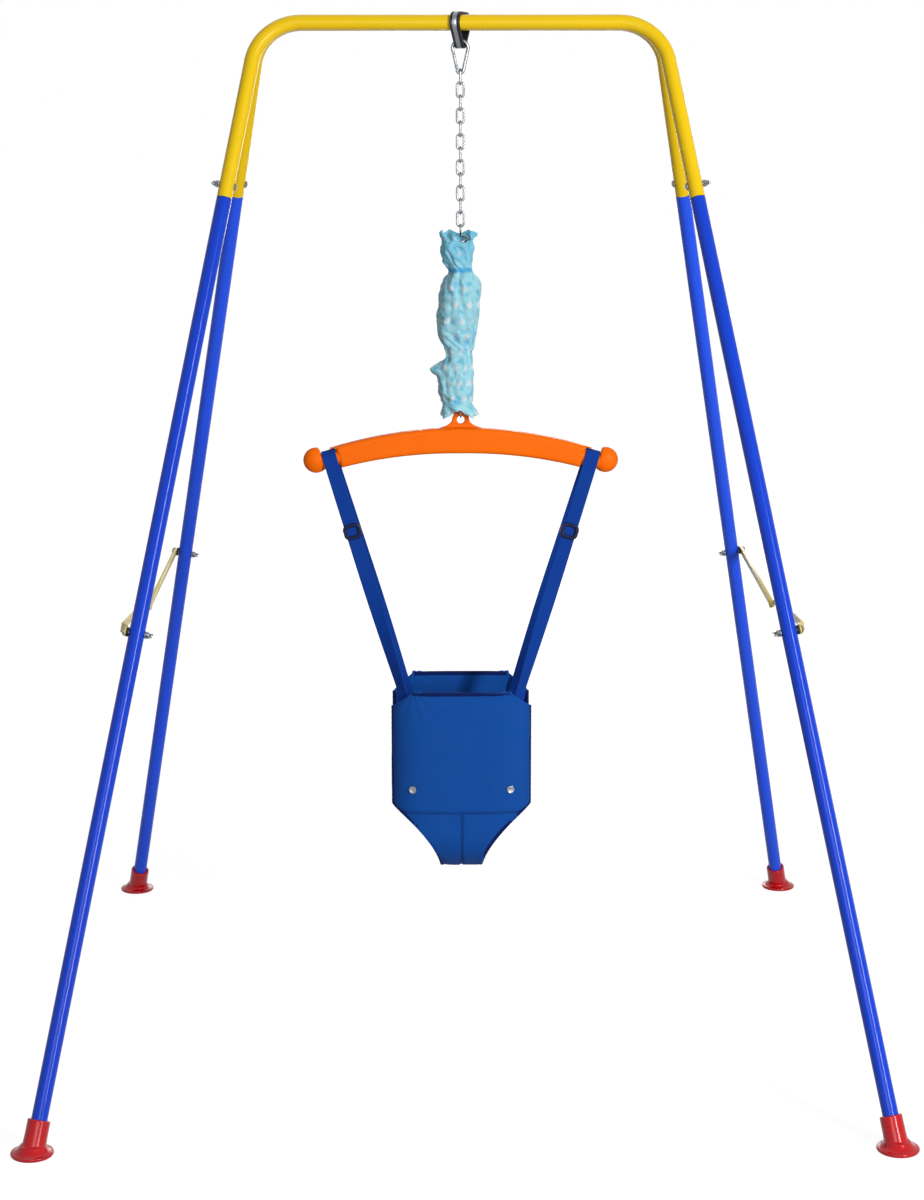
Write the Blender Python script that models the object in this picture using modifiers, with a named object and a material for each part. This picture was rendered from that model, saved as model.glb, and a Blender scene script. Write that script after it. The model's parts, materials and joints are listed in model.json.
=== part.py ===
"""Baby jumper on a folding stand.

Two bent tubes with two legs each stand as an A-frame. A lined steel band round both bars
carries a snap hook, a chain and a spring in a cloth sleeve. The spring carries an arched
spreader bar, and two webbing straps hang a seat harness from its ends.

Metres, +Z up, +X to the right, the front is towards -Y. The origin is on the floor, in the
middle of the four feet.
"""

import math

import bmesh
import bpy
from mathutils import Matrix, Vector

X_AXIS = Vector((1.0, 0.0, 0.0))
Y_AXIS = Vector((0.0, 1.0, 0.0))
Z_AXIS = Vector((0.0, 0.0, 1.0))

# Gap between neighbouring pieces
GAP = 0.0003

# Stand
BAR_TOP_Z = 1.300
FOOT_HALF_X = 0.499
FOOT_HALF_Y = 0.500
CORNER_HALF_X = 0.251
TUBE_RADIUS = 0.0095
TUBE_WALL = 0.0012
BAR_SPACING = 0.021
BEND_RADIUS = 0.062
BEND_STEPS = 5
TUBE_SIDES = 12
SMALL_SIDES = 8
JOINT_DROP = 0.215
SPIGOT_LENGTH = 0.045
SPIGOT_WALL = 0.0011

# Screw through each tube joint
SCREW_RADIUS = 0.0029
SCREW_HEAD_RADIUS = 0.0048
SCREW_HEAD_HEIGHT = 0.0030
SCREW_ABOVE_JOINT = 0.0168
WING_HUB_RADIUS = 0.0046
WING_HUB_HEIGHT = 0.0050
WING_SPAN = 0.0105
WING_REACH = 0.0090
WING_THICKNESS = 0.0018

# Feet
FOOT_CUP_RADIUS = 0.0133
FOOT_CUP_TOP = 0.0400
FOOT_FLANGE_RADIUS = 0.0248
FOOT_FLANGE_HEIGHT = 0.0125
FOOT_RIM_HEIGHT = 0.0045
LEG_END_UP = 0.009
FOOT_SIDES = 12

# Side braces, each of two halves that fold at the middle
BRACE_DROP = 0.7230
BRACE_SAG = 0.0235
BRACE_WIDTH = 0.0115
BRACE_SHEET = 0.0012
BRACE_CHANNEL_DEPTH = 0.0042
BRACE_FLAT = 0.0018
BRACE_APART = 0.0045
JOGGLE_START = 0.0140
JOGGLE_LENGTH = 0.0160
REAR_SPACER_LENGTH = 0.0020
FRONT_SPACER_LENGTH = 0.0030
SPACER_RADIUS = 0.0058
BRACE_BOLT_RADIUS = 0.0028
BRACE_BOLT_HEAD_RADIUS = 0.0052
BRACE_BOLT_HEAD_HEIGHT = 0.0028
BRACE_BOLT_TIP = 0.0030
BRACE_NUT_HEIGHT = 0.0050
RIVET_RADIUS = 0.0024
RIVET_HEAD_RADIUS = 0.0046
RIVET_HEAD_HEIGHT = 0.0016
RIVET_END_PLAY = 0.0009

# Lined band round both bars, with the snap hook in its bottom
LINING_WIDTH = 0.0124
LINING_BASE = 0.0020
LINING_LIP_WIDTH = 0.0030
LINING_LIP_HEIGHT = 0.0016
BAND_THICKNESS = 0.0012
BAND_DROP = 0.0249
BAND_BOTTOM_RADIUS = 0.0030
BAND_SKEW = 0.14
ARC_STEPS = 6

# Snap hook
HOOK_WIRE_RADIUS = 0.00225
HOOK_TOP_RADIUS = 0.00975
HOOK_BOTTOM_RADIUS = 0.00385
HOOK_CENTRES = 0.0267
HOOK_ABOVE_BAND = 0.0006
GATE_START = 0.16
GATE_END = 0.90
GATE_RADIUS = 0.0019
GATE_GAP = 0.0004

# Chain
LINK_COUNT = 12
LINK_WIRE_RADIUS = 0.0015
LINK_PITCH = 0.01608
LINK_WIDTH = 0.0117
LINK_ARC_STEPS = 4

# Spring and its loops
SPRING_WIRE_RADIUS = 0.00125
SPRING_RADIUS = 0.0105
SPRING_LOOP_RADIUS = 0.0068
SPRING_LOOP_RISE = 0.0078
SPRING_TURNS = 14
SPRING_LENGTH = 0.2046
CURL_POINTS = 8

# Ring between the spring and the spreader bar
RING_RADIUS = 0.0080
RING_WIRE_RADIUS = 0.0010

# Cloth sleeve over the spring
SLEEVE_TOP_ABOVE = 0.0100
SLEEVE_LENGTH = 0.2400
SLEEVE_RADIUS = 0.0265
SLEEVE_CLOTH = 0.0014
SLEEVE_COLUMNS = 18
SLEEVE_ROWS = 18
SLEEVE_CLEARANCE = 0.0007
FLAP_REACH = 0.0130
FLAP_AT = 0.745
FLAP_SPREAD = 0.030
FLAP_ANGLE = 0.55

# Spreader bar
BAR_ARC_RADIUS = 0.600
BAR_DEPTH = 0.0335
BAR_END_DEPTH = 0.0285
BAR_THICKNESS = 0.0215
BAR_EDGE = 0.0050
BAR_STEPS = 10
NOTCH_ALONG = 0.1712
NOTCH_WIDTH = 0.0206
NECK_RADIUS = 0.0102
BALL_RADIUS = 0.0166
BALL_BEYOND_NOTCH = 0.0184
BALL_RISE = 0.0042
LUG_RADIUS = 0.0112
LUG_HOLE_RADIUS = 0.0050
LUG_THICKNESS = 0.0050
LUG_ABOVE_BAR = 0.0099
LUG_FLARE_HALF = 0.0300
LUG_FLARE = ((0.46, 0.52), (0.63, 0.20), (0.82, 0.03))
LIP_LENGTH = 0.0080
LIP_THICKNESS = 0.0014
LIP_DEPTH = 0.0110

# Straps
WEBBING_WIDTH = 0.0184
WEBBING_THICKNESS = 0.0014
STRAP_PLAY = 0.0007
STRAP_DROP = 0.2970
STRAP_TUCK = 0.0300
STRAP_FOOT_HALF_X = 0.0825
STRAP_SEAT_GAP = 0.0027
STRAP_SEAT_SHARE = 0.88
STRAP_KNEE_ABOVE = 0.0030
STRAP_FLAT_RUN = 0.1460

# Slide buckles on the front runs of the straps
BUCKLE_WIDTH = 0.0234
BUCKLE_HEIGHT = 0.0210
BUCKLE_BAR = 0.0040
BUCKLE_BAR_THICKNESS = 0.0022
BUCKLE_PLAY = 0.0004
BUCKLE_ALONG = 0.0980

# Harness, with the shape it has in use
HARNESS_HALF_WIDTH = 0.0912
HARNESS_SECTION_HALF = 0.0953
HARNESS_HALF_DEPTH = 0.0660
HARNESS_POWER = 4.0
HARNESS_CLOTH = 0.0034
HARNESS_TOP_HALF = 0.0630
HARNESS_SHOULDER = 0.0215
HARNESS_SIDE = 0.1320
HARNESS_LEG_CUT = 0.0935
CROTCH_HALF_WIDTH = 0.0275
CROTCH_TURN = 0.36
LEG_CUT_POWER = 2.0
WING_TOP_UP = 0.0560
WING_BOTTOM_UP = 0.0070
WING_FRONT_REACH = 0.0500
WING_INSET = 0.0050
WING_STEP_IN = 0.42
SEAM_GAP = 0.0016
SNAP_HALF_X = 0.0632
SNAP_UP = 0.0240
SNAP_RADIUS = 0.0056
SNAP_HEIGHT = 0.0022
SNAP_SIDES = 10
PANEL_COLUMNS = 10
CROTCH_ROWS = 8
SHOULDER_ROWS = 3
WING_COLUMNS = 8
WING_ROW = SHOULDER_ROWS + 2

# Places that follow from the sizes above
BAR_Z = BAR_TOP_Z - TUBE_RADIUS
SPIGOT_RADIUS = (TUBE_RADIUS - TUBE_WALL) * math.cos(math.pi / TUBE_SIDES) - GAP
BRACE_Z = BAR_Z - BRACE_DROP

YELLOW = (0.80, 0.50, 0.006)
BLUE = (0.006, 0.055, 0.68)
RED = (0.60, 0.004, 0.010)
ORANGE = (1.0, 0.178, 0.002)
PALE_YELLOW = (0.80, 0.68, 0.25)
ZINC = (0.50, 0.50, 0.52)
BLACK = (0.012, 0.012, 0.014)
SKY = (0.24, 0.62, 0.84)
ROYAL = (0.004, 0.065, 0.300)
NAVY = (0.003, 0.020, 0.090)

for old in list(bpy.data.objects):
    bpy.data.objects.remove(old, do_unlink=True)

parts = bpy.data.collections.new("baby_jumper")
cutters = bpy.data.collections.new("cutters")
bpy.context.scene.collection.children.link(parts)
bpy.context.scene.collection.children.link(cutters)


def finish(name, colour, roughness, metallic=0.0):
    """A plain Principled material."""
    material = bpy.data.materials.new(name)
    material.use_nodes = True
    shader = material.node_tree.nodes["Principled BSDF"]
    shader.inputs["Base Color"].default_value = (*colour, 1.0)
    shader.inputs["Roughness"].default_value = roughness
    shader.inputs["Metallic"].default_value = metallic
    material.diffuse_color = (*colour, 1.0)
    return material


FINISHES = {
    "yellow_paint": finish("yellow_paint", YELLOW, 0.30),
    "blue_paint": finish("blue_paint", BLUE, 0.25),
    "red_plastic": finish("red_plastic", RED, 0.35),
    "brace_paint": finish("brace_paint", PALE_YELLOW, 0.45),
    "zinc": finish("zinc", ZINC, 0.35, 1.0),
    "black_rubber": finish("black_rubber", BLACK, 0.70),
    "orange_plastic": finish("orange_plastic", ORANGE, 0.40),
    "sleeve_cloth": finish("sleeve_cloth", SKY, 0.80),
    "webbing": finish("webbing", ROYAL, 0.85),
    "harness_cloth": finish("harness_cloth", ROYAL, 0.90),
    "buckle_plastic": finish("buckle_plastic", NAVY, 0.40),
}


def add_object(name, data, material=None, collection=parts):
    """Links a new object and gives it its finish."""
    obj = bpy.data.objects.new(name, data)
    collection.objects.link(obj)
    if material:
        data.materials.append(FINISHES[material])
    if collection is cutters:
        obj.hide_render = True
        obj.display_type = "WIRE"
    return obj


def axes_matrix(origin, z_axis, x_hint):
    """A place whose +Z runs along z_axis and whose +X leans towards x_hint."""
    z = z_axis.normalized()
    x = (x_hint - z * x_hint.dot(z)).normalized()
    y = z.cross(x)
    return Matrix.Translation(origin) @ Matrix((x, y, z)).transposed().to_4x4()


def smooth(mesh, angle=40):
    """Shades a round piece smooth, with its sharp edges kept."""
    mesh.shade_smooth()
    mesh.set_sharp_from_angle(angle=math.radians(angle))


def curve_data(name, kind, splines, cyclic):
    """A curve of straight runs through each list of points."""
    data = bpy.data.curves.new(name, "CURVE")
    data.dimensions = kind
    for points in splines:
        spline = data.splines.new("POLY")
        spline.points.add(len(points) - 1)
        for item, place in zip(spline.points, points):
            item.co = (*place, 1.0)
        spline.use_cyclic_u = cyclic
    return data


def wire(name, points, radius, resolution, material, cyclic=False, caps=True):
    """A round wire or tube along the points."""
    data = curve_data(name, "3D", [points], cyclic)
    data.bevel_depth = radius
    data.bevel_resolution = resolution
    data.use_fill_caps = caps and not cyclic
    return add_object(name, data, material)


def plate(name, outlines, thickness, matrix, material, collection=parts, edge=0.0):
    """A flat plate: its first outline is the rim and the others are its holes."""
    flat = [[(x, y, 0.0) for x, y in outline] for outline in outlines]
    data = curve_data(name, "2D", flat, True)
    data.fill_mode = "BOTH"
    data.extrude = thickness / 2 - edge
    data.bevel_depth = edge
    data.bevel_resolution = 1
    data.offset = -edge
    obj = add_object(name, data, material, collection)
    obj.matrix_world = matrix
    return obj


def meshed(obj, collection=parts):
    """The same object as a mesh, with its loose caps welded."""
    bpy.context.view_layer.update()
    graph = bpy.context.evaluated_depsgraph_get()
    mesh = bpy.data.meshes.new_from_object(obj.evaluated_get(graph))
    work = bmesh.new()
    work.from_mesh(mesh)
    bmesh.ops.remove_doubles(work, verts=work.verts, dist=1e-6)
    work.to_mesh(mesh)
    work.free()
    name = obj.name
    place = obj.matrix_world.copy()
    bpy.data.objects.remove(obj)
    mesh.name = name
    made = bpy.data.objects.new(name, mesh)
    collection.objects.link(made)
    made.matrix_world = place
    if collection is cutters:
        made.hide_render = True
        made.display_type = "WIRE"
    return made


def turned(name, profile, steps, matrix, material, collection=parts):
    """A solid of revolution about its own Z. The profile runs down its outer side."""
    mesh = bpy.data.meshes.new(name)
    closed = profile[0][0] > 0 or profile[-1][0] > 0
    count = len(profile)
    edges = [(i, i + 1) for i in range(count - 1)]
    if closed:
        edges.append((count - 1, 0))
    mesh.from_pydata([(r, 0.0, z) for r, z in profile], edges, [])
    obj = add_object(name, mesh, material, collection)
    obj.matrix_world = matrix
    turn = obj.modifiers.new("Turn", "SCREW")
    turn.steps = steps
    turn.render_steps = steps
    turn.use_smooth_shade = False
    turn.use_merge_vertices = True
    turn.merge_threshold = 1e-6
    return obj


def rod(name, start, end, radius, sides, collection=cutters, material=None):
    """A plain round bar between two points."""
    mesh = bpy.data.meshes.new(name)
    work = bmesh.new()
    bmesh.ops.create_cone(
        work,
        cap_ends=True,
        segments=sides,
        radius1=radius,
        radius2=radius,
        depth=(end - start).length,
    )
    work.to_mesh(mesh)
    work.free()
    obj = add_object(name, mesh, material, collection)
    hint = Y_AXIS if abs((end - start).normalized().y) < 0.9 else X_AXIS
    obj.matrix_world = axes_matrix((start + end) / 2, end - start, hint)
    return obj


def block(name, size, matrix, collection=cutters, material=None, rounding=0.0):
    """A box of full size (x, y, z), with rounded edges where asked."""
    mesh = bpy.data.meshes.new(name)
    work = bmesh.new()
    bmesh.ops.create_cube(work, size=1.0)
    bmesh.ops.scale(work, vec=Vector(size), verts=work.verts)
    if rounding:
        bmesh.ops.bevel(
            work, geom=work.edges, offset=rounding, segments=1, affect="EDGES"
        )
    work.to_mesh(mesh)
    work.free()
    obj = add_object(name, mesh, material, collection)
    obj.matrix_world = matrix
    return obj


def boolean(obj, other, operation="DIFFERENCE"):
    """Cuts the other shape out of the object, or joins it on."""
    step = obj.modifiers.new(operation.title(), "BOOLEAN")
    step.object = other
    step.operation = operation
    step.solver = "EXACT"


def circle(radius, steps, centre=(0.0, 0.0), start=0.0, turn=2 * math.pi):
    """Points on a circle, without the last one of a full turn."""
    count = steps if turn >= 2 * math.pi else steps + 1
    return [
        (
            centre[0] + radius * math.cos(start + turn * i / steps),
            centre[1] + radius * math.sin(start + turn * i / steps),
        )
        for i in range(count)
    ]


def side_name(side):
    return "left" if side < 0 else "right"


def face_name(face):
    return "front" if face < 0 else "back"


# Places on the stand


def leg_point(side, face, drop):
    """A point on a leg's axis, a vertical distance below the bars' centres."""
    corner = Vector((side * CORNER_HALF_X, face * BAR_SPACING / 2, BAR_Z))
    foot = Vector((side * FOOT_HALF_X, face * FOOT_HALF_Y, 0.0))
    return corner.lerp(foot, drop / BAR_Z)


def leg_down(side, face):
    """The unit vector down a leg."""
    return (leg_point(side, face, BAR_Z) - leg_point(side, face, 0.0)).normalized()


def cross_axis(side, face):
    """The outward direction of the bolts, square to the leg and to the braces."""
    axis = leg_down(side, face).cross(Y_AXIS).normalized()
    return axis if axis.x * side > 0 else -axis


def swing_up(side, face):
    """The upward direction in the plane in which the braces fold."""
    up = cross_axis(side, face).cross(Y_AXIS)
    return up if up.z > 0 else -up


# Stand


def top_tube(face):
    """One bent tube: two short legs, two bends and the bar between them."""
    left_end = leg_point(-1, face, JOINT_DROP)
    left_corner = leg_point(-1, face, 0.0)
    rise = (left_corner - left_end).normalized()
    turn = rise.angle(X_AXIS)
    tangent = BEND_RADIUS * math.tan(turn / 2)
    inward = (X_AXIS - rise * X_AXIS.dot(rise)).normalized()
    centre = left_corner - rise * tangent + inward * BEND_RADIUS
    points = [left_end]
    for i in range(BEND_STEPS + 1):
        angle = turn * i / BEND_STEPS
        arm = rise * math.sin(angle) - inward * math.cos(angle)
        points.append(centre + arm * BEND_RADIUS)
    points += [Vector((-p.x, p.y, p.z)) for p in reversed(points)]
    name = f"top_tube_{face_name(face)}"
    resolution = TUBE_SIDES // 2 - 2
    tube = wire(name, points, TUBE_RADIUS, resolution, "yellow_paint", caps=False)
    tube = meshed(tube)
    wall = tube.modifiers.new("Wall", "SOLIDIFY")
    wall.thickness = TUBE_WALL
    wall.offset = -1.0
    for side in (-1, 1):
        boolean(tube, screw_cutter(side, face))
    smooth(tube.data)
    return tube


def screw_centre(side, face):
    """Where the joint screw crosses the tube's axis."""
    return leg_point(side, face, JOINT_DROP) - leg_down(side, face) * SCREW_ABOVE_JOINT


def screw_cutter(side, face):
    """The hole that the joint screw passes through."""
    name = f"screw_hole_{face_name(face)}_{side_name(side)}"
    if name in bpy.data.objects:
        return bpy.data.objects[name]
    axis = cross_axis(side, face)
    centre = screw_centre(side, face)
    reach = axis * 3 * TUBE_RADIUS
    radius = SCREW_RADIUS + GAP
    return rod(name, centre - reach, centre + reach, radius, SMALL_SIDES)


def leg(side, face):
    """One lower tube, drawn in at its top to slide into the bent tube."""
    down = leg_down(side, face)
    joint = leg_point(side, face, JOINT_DROP) + down * GAP
    foot_end = leg_point(side, face, BAR_Z - LEG_END_UP)
    length = (foot_end - joint).length
    bore = TUBE_RADIUS - TUBE_WALL
    spigot_bore = SPIGOT_RADIUS - SPIGOT_WALL
    neck = SPIGOT_WALL * 2
    profile = [
        (SPIGOT_RADIUS, SPIGOT_LENGTH),
        (SPIGOT_RADIUS, 0.0),
        (TUBE_RADIUS, 0.0),
        (TUBE_RADIUS, -length),
        (bore, -length),
        (bore, -2 * neck),
        (spigot_bore, -neck),
        (spigot_bore, SPIGOT_LENGTH),
    ]
    name = f"leg_{face_name(face)}_{side_name(side)}"
    place = axes_matrix(joint, -down, X_AXIS)
    tube = turned(name, profile, TUBE_SIDES, place, "blue_paint")
    boolean(tube, screw_cutter(side, face))
    centre = leg_point(side, face, BRACE_DROP)
    reach = cross_axis(side, face) * 3 * TUBE_RADIUS
    hole = f"brace_hole_{face_name(face)}_{side_name(side)}"
    radius = BRACE_BOLT_RADIUS + GAP
    boolean(tube, rod(hole, centre - reach, centre + reach, radius, SMALL_SIDES))
    return tube


def foot(side, face):
    """A moulded foot: a cup on the leg's end over a round flange on the floor."""
    name = f"foot_{face_name(face)}_{side_name(side)}"
    up = -leg_down(side, face)
    ground = leg_point(side, face, BAR_Z)
    rim = FOOT_FLANGE_RADIUS
    profile = [
        (0.0, FOOT_FLANGE_HEIGHT),
        (FOOT_CUP_RADIUS * 0.98, FOOT_FLANGE_HEIGHT),
        (FOOT_CUP_RADIUS * 1.18, FOOT_FLANGE_HEIGHT * 0.80),
        (rim * 0.80, FOOT_FLANGE_HEIGHT * 0.53),
        (rim * 0.96, FOOT_RIM_HEIGHT),
        (rim, FOOT_RIM_HEIGHT * 0.60),
        (rim, FOOT_RIM_HEIGHT * 0.25),
        (rim * 0.97, 0.0),
        (0.0, 0.0),
    ]
    flange = turned(
        name, profile, FOOT_SIDES, Matrix.Translation(ground), "red_plastic"
    )
    cup_start = ground + up * (FOOT_FLANGE_HEIGHT * 0.5)
    cup_end = ground + up * FOOT_CUP_TOP
    cup = rod(f"{name}_cup", cup_start, cup_end, FOOT_CUP_RADIUS, FOOT_SIDES)
    boolean(flange, cup, "UNION")
    seat = leg_point(side, face, BAR_Z - LEG_END_UP) - up * GAP
    bore = TUBE_RADIUS + GAP
    bore_cut = rod(f"{name}_bore", seat, seat + up * FOOT_CUP_TOP, bore, FOOT_SIDES)
    boolean(flange, bore_cut)
    return flange


def wing_outline(hub, height):
    """Half of a wing nut's outline, from its hub out to the wing's tip."""
    base = WING_THICKNESS / 3
    right = [
        (hub * 0.5, base),
        (hub * 1.1, base),
        (WING_SPAN * 0.85, WING_REACH * 0.45),
        (WING_SPAN, WING_REACH * 0.80),
        (WING_SPAN * 0.86, WING_REACH),
        (WING_SPAN * 0.62, WING_REACH * 0.86),
        (hub * 0.5, height * 0.8),
    ]
    return right + [(-x, y) for x, y in reversed(right)]


def joint_screw(side, face):
    """The screw through a tube joint, with a dome head inside and wings outside."""
    name = f"joint_screw_{face_name(face)}_{side_name(side)}"
    axis = cross_axis(side, face)
    centre = screw_centre(side, face)
    seat = TUBE_RADIUS + GAP
    head = seat + SCREW_HEAD_HEIGHT
    hub = seat + WING_HUB_HEIGHT
    profile = [
        (0.0, hub + BRACE_BOLT_TIP),
        (SCREW_RADIUS, hub + BRACE_BOLT_TIP),
        (SCREW_RADIUS, hub),
        (WING_HUB_RADIUS * 0.85, hub),
        (WING_HUB_RADIUS, seat),
        (SCREW_RADIUS, seat),
        (SCREW_RADIUS, -seat),
        (SCREW_HEAD_RADIUS, -seat),
        (SCREW_HEAD_RADIUS * 0.90, -(seat + SCREW_HEAD_HEIGHT * 0.55)),
        (SCREW_HEAD_RADIUS * 0.55, -head),
        (0.0, -head),
    ]
    place = axes_matrix(centre, axis, Y_AXIS)
    screw = turned(name, profile, SMALL_SIDES, place, "zinc")
    outline = wing_outline(WING_HUB_RADIUS, WING_HUB_HEIGHT)
    wings_place = place @ Matrix.Translation((0.0, 0.0, seat))
    wings_place = wings_place @ Matrix.Rotation(math.pi / 2, 4, "X")
    wings = plate(
        f"{name}_wings", [outline], WING_THICKNESS, wings_place, None, cutters
    )
    boolean(screw, meshed(wings, cutters), "UNION")
    return screw


# Braces


def brace_bolt_point(side, face):
    return leg_point(side, face, BRACE_DROP)


def brace_direction(side, face):
    """From a leg's bolt to the hinge in the middle of the brace."""
    start = brace_bolt_point(side, face)
    middle = Vector((start.x, 0.0, start.z)) - swing_up(side, face) * BRACE_SAG
    return middle - start


REAR_HALF_INNER = TUBE_RADIUS + 2 * GAP + REAR_SPACER_LENGTH
REAR_HALF_OUTER = REAR_HALF_INNER + BRACE_CHANNEL_DEPTH
FRONT_HALF_INNER = REAR_HALF_OUTER + BRACE_APART
FRONT_HALF_OUTER = FRONT_HALF_INNER + BRACE_FLAT
FRONT_END_INNER = TUBE_RADIUS + 2 * GAP + FRONT_SPACER_LENGTH
FRONT_END_OUTER = FRONT_END_INNER + BRACE_FLAT


def bar_outline(length):
    """A flat bar with round ends, from one hole's centre to the other's."""
    half = BRACE_WIDTH / 2
    right = circle(half, 6, (length, 0.0), -math.pi / 2, math.pi)
    left = circle(half, 6, (0.0, 0.0), math.pi / 2, math.pi)
    return right + left


def brace_place(side, face, outward):
    """At a brace's bolt, +X along the half and +Z away from the leg."""
    axis = cross_axis(side, face)
    start = brace_bolt_point(side, face) + axis * outward
    return axes_matrix(start, axis, brace_direction(side, face))


def rear_half(side):
    """The rear half of a brace: a channel that is open below, with a rivet's head."""
    name = f"brace_back_{side_name(side)}"
    length = brace_direction(side, 1).length
    place = brace_place(side, 1, (REAR_HALF_INNER + REAR_HALF_OUTER) / 2)
    hole = circle(BRACE_BOLT_RADIUS + GAP, SMALL_SIDES)
    outlines = [bar_outline(length), hole]
    bar = meshed(plate(name, outlines, BRACE_CHANNEL_DEPTH, place, "brace_paint"))
    upward = place.to_3x3().col[1].z
    lift = -BRACE_SHEET if upward > 0 else BRACE_SHEET
    gap = BRACE_CHANNEL_DEPTH - 2 * BRACE_SHEET
    size = (length - 3 * BRACE_WIDTH, BRACE_WIDTH, gap)
    middle = place @ Matrix.Translation((length / 2, lift, 0.0))
    boolean(bar, block(f"{name}_channel", size, middle))
    axis = cross_axis(side, 1)
    tip = brace_bolt_point(side, 1) + brace_direction(side, 1)
    low = tip + axis * (REAR_HALF_INNER - RIVET_HEAD_HEIGHT)
    high = tip + axis * (REAR_HALF_INNER + BRACE_SHEET / 2)
    boss = rod(f"{name}_boss", low, high, RIVET_HEAD_RADIUS, SMALL_SIDES)
    boolean(bar, boss, "UNION")
    return bar


def front_half(side):
    """The front half: a flat bar that steps outward past the rear half's plane."""
    name = f"brace_front_{side_name(side)}"
    length = brace_direction(side, -1).length
    place = brace_place(side, -1, 0.0)
    step = JOGGLE_START + JOGGLE_LENGTH
    ends = BRACE_WIDTH
    profile = [
        (-ends, FRONT_END_INNER),
        (JOGGLE_START, FRONT_END_INNER),
        (step, FRONT_HALF_INNER),
        (length + ends, FRONT_HALF_INNER),
        (length + ends, FRONT_HALF_OUTER),
        (step - BRACE_FLAT / 2, FRONT_HALF_OUTER),
        (JOGGLE_START - BRACE_FLAT / 2, FRONT_END_OUTER),
        (-ends, FRONT_END_OUTER),
    ]
    on_edge = place @ Matrix.Rotation(math.pi / 2, 4, "X")
    bar = plate(name, [profile], 2 * BRACE_WIDTH, on_edge, "brace_paint")
    bar = meshed(bar)
    rivet_hole = circle(RIVET_RADIUS + GAP, SMALL_SIDES, (length, 0.0))
    bolt_hole = circle(BRACE_BOLT_RADIUS + GAP, SMALL_SIDES)
    outlines = [bar_outline(length), bolt_hole, rivet_hole]
    depth = 2 * FRONT_HALF_OUTER
    middle = brace_place(side, -1, FRONT_HALF_OUTER / 2)
    outline = plate(f"{name}_outline", outlines, depth, middle, None, cutters)
    boolean(bar, meshed(outline, cutters), "INTERSECT")
    return bar


def brace_rivet(side):
    """The rivet in the middle of a brace, carried by the front half."""
    name = f"brace_rivet_{side_name(side)}"
    centre = brace_bolt_point(side, -1) + brace_direction(side, -1)
    axis = cross_axis(side, -1)
    head = FRONT_HALF_OUTER + GAP
    collar = FRONT_HALF_INNER - GAP
    profile = [
        (0.0, head + RIVET_HEAD_HEIGHT),
        (RIVET_HEAD_RADIUS * 0.7, head + RIVET_HEAD_HEIGHT),
        (RIVET_HEAD_RADIUS, head),
        (RIVET_RADIUS, head),
        (RIVET_RADIUS, collar),
        (RIVET_HEAD_RADIUS, collar),
        (RIVET_HEAD_RADIUS * 0.8, REAR_HALF_OUTER + RIVET_END_PLAY),
        (0.0, REAR_HALF_OUTER + RIVET_END_PLAY),
    ]
    place = axes_matrix(centre, axis, Y_AXIS)
    return turned(name, profile, SMALL_SIDES, place, "zinc")


def brace_stack(face):
    """How far out a spacer starts and ends, and where the bolt's head sits."""
    spacer_start = TUBE_RADIUS + GAP
    if face > 0:
        return spacer_start, REAR_HALF_INNER - GAP, REAR_HALF_OUTER + GAP
    return spacer_start, FRONT_END_INNER - GAP, FRONT_END_OUTER + GAP


def brace_fastening(side, face):
    """The spacer, bolt and wing nut that pivot one end of a brace on its leg."""
    tail = f"{face_name(face)}_{side_name(side)}"
    centre = brace_bolt_point(side, face)
    axis = cross_axis(side, face)
    place = axes_matrix(centre, axis, Y_AXIS)
    spacer_start, spacer_end, head = brace_stack(face)
    bore = BRACE_BOLT_RADIUS + GAP
    spacer_profile = [
        (SPACER_RADIUS, spacer_end),
        (SPACER_RADIUS, spacer_start),
        (bore, spacer_start),
        (bore, spacer_end),
    ]
    spacer_name = f"brace_spacer_{tail}"
    spacer = turned(spacer_name, spacer_profile, SMALL_SIDES, place, "black_rubber")
    nut_seat = TUBE_RADIUS + GAP
    tip = nut_seat + BRACE_NUT_HEIGHT + BRACE_BOLT_TIP
    head_radius = BRACE_BOLT_HEAD_RADIUS
    bolt_profile = [
        (0.0, head + BRACE_BOLT_HEAD_HEIGHT),
        (head_radius * 0.6, head + BRACE_BOLT_HEAD_HEIGHT),
        (head_radius, head + BRACE_BOLT_HEAD_HEIGHT * 0.4),
        (head_radius, head),
        (BRACE_BOLT_RADIUS, head),
        (BRACE_BOLT_RADIUS, -tip),
        (0.0, -tip),
    ]
    bolt = turned(f"brace_bolt_{tail}", bolt_profile, SMALL_SIDES, place, "zinc")
    nut_profile = [
        (0.0, -nut_seat),
        (WING_HUB_RADIUS, -nut_seat),
        (WING_HUB_RADIUS * 0.85, -(nut_seat + BRACE_NUT_HEIGHT)),
        (0.0, -(nut_seat + BRACE_NUT_HEIGHT)),
    ]
    nut = turned(f"brace_nut_{tail}", nut_profile, SMALL_SIDES, place, "zinc")
    wings_place = place @ Matrix.Translation((0.0, 0.0, -nut_seat))
    wings_place = wings_place @ Matrix.Rotation(-math.pi / 2, 4, "X")
    outline = wing_outline(WING_HUB_RADIUS, BRACE_NUT_HEIGHT)
    wings = plate(
        f"brace_nut_{tail}_wings", [outline], WING_THICKNESS, wings_place, None, cutters
    )
    boolean(nut, meshed(wings, cutters), "UNION")
    reach = axis * 4 * TUBE_RADIUS
    bore_name = f"brace_nut_{tail}_bore"
    bore_cut = rod(bore_name, centre - reach, centre, bore, SMALL_SIDES)
    boolean(nut, bore_cut)
    return spacer, bolt, nut


# Band and hook


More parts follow.
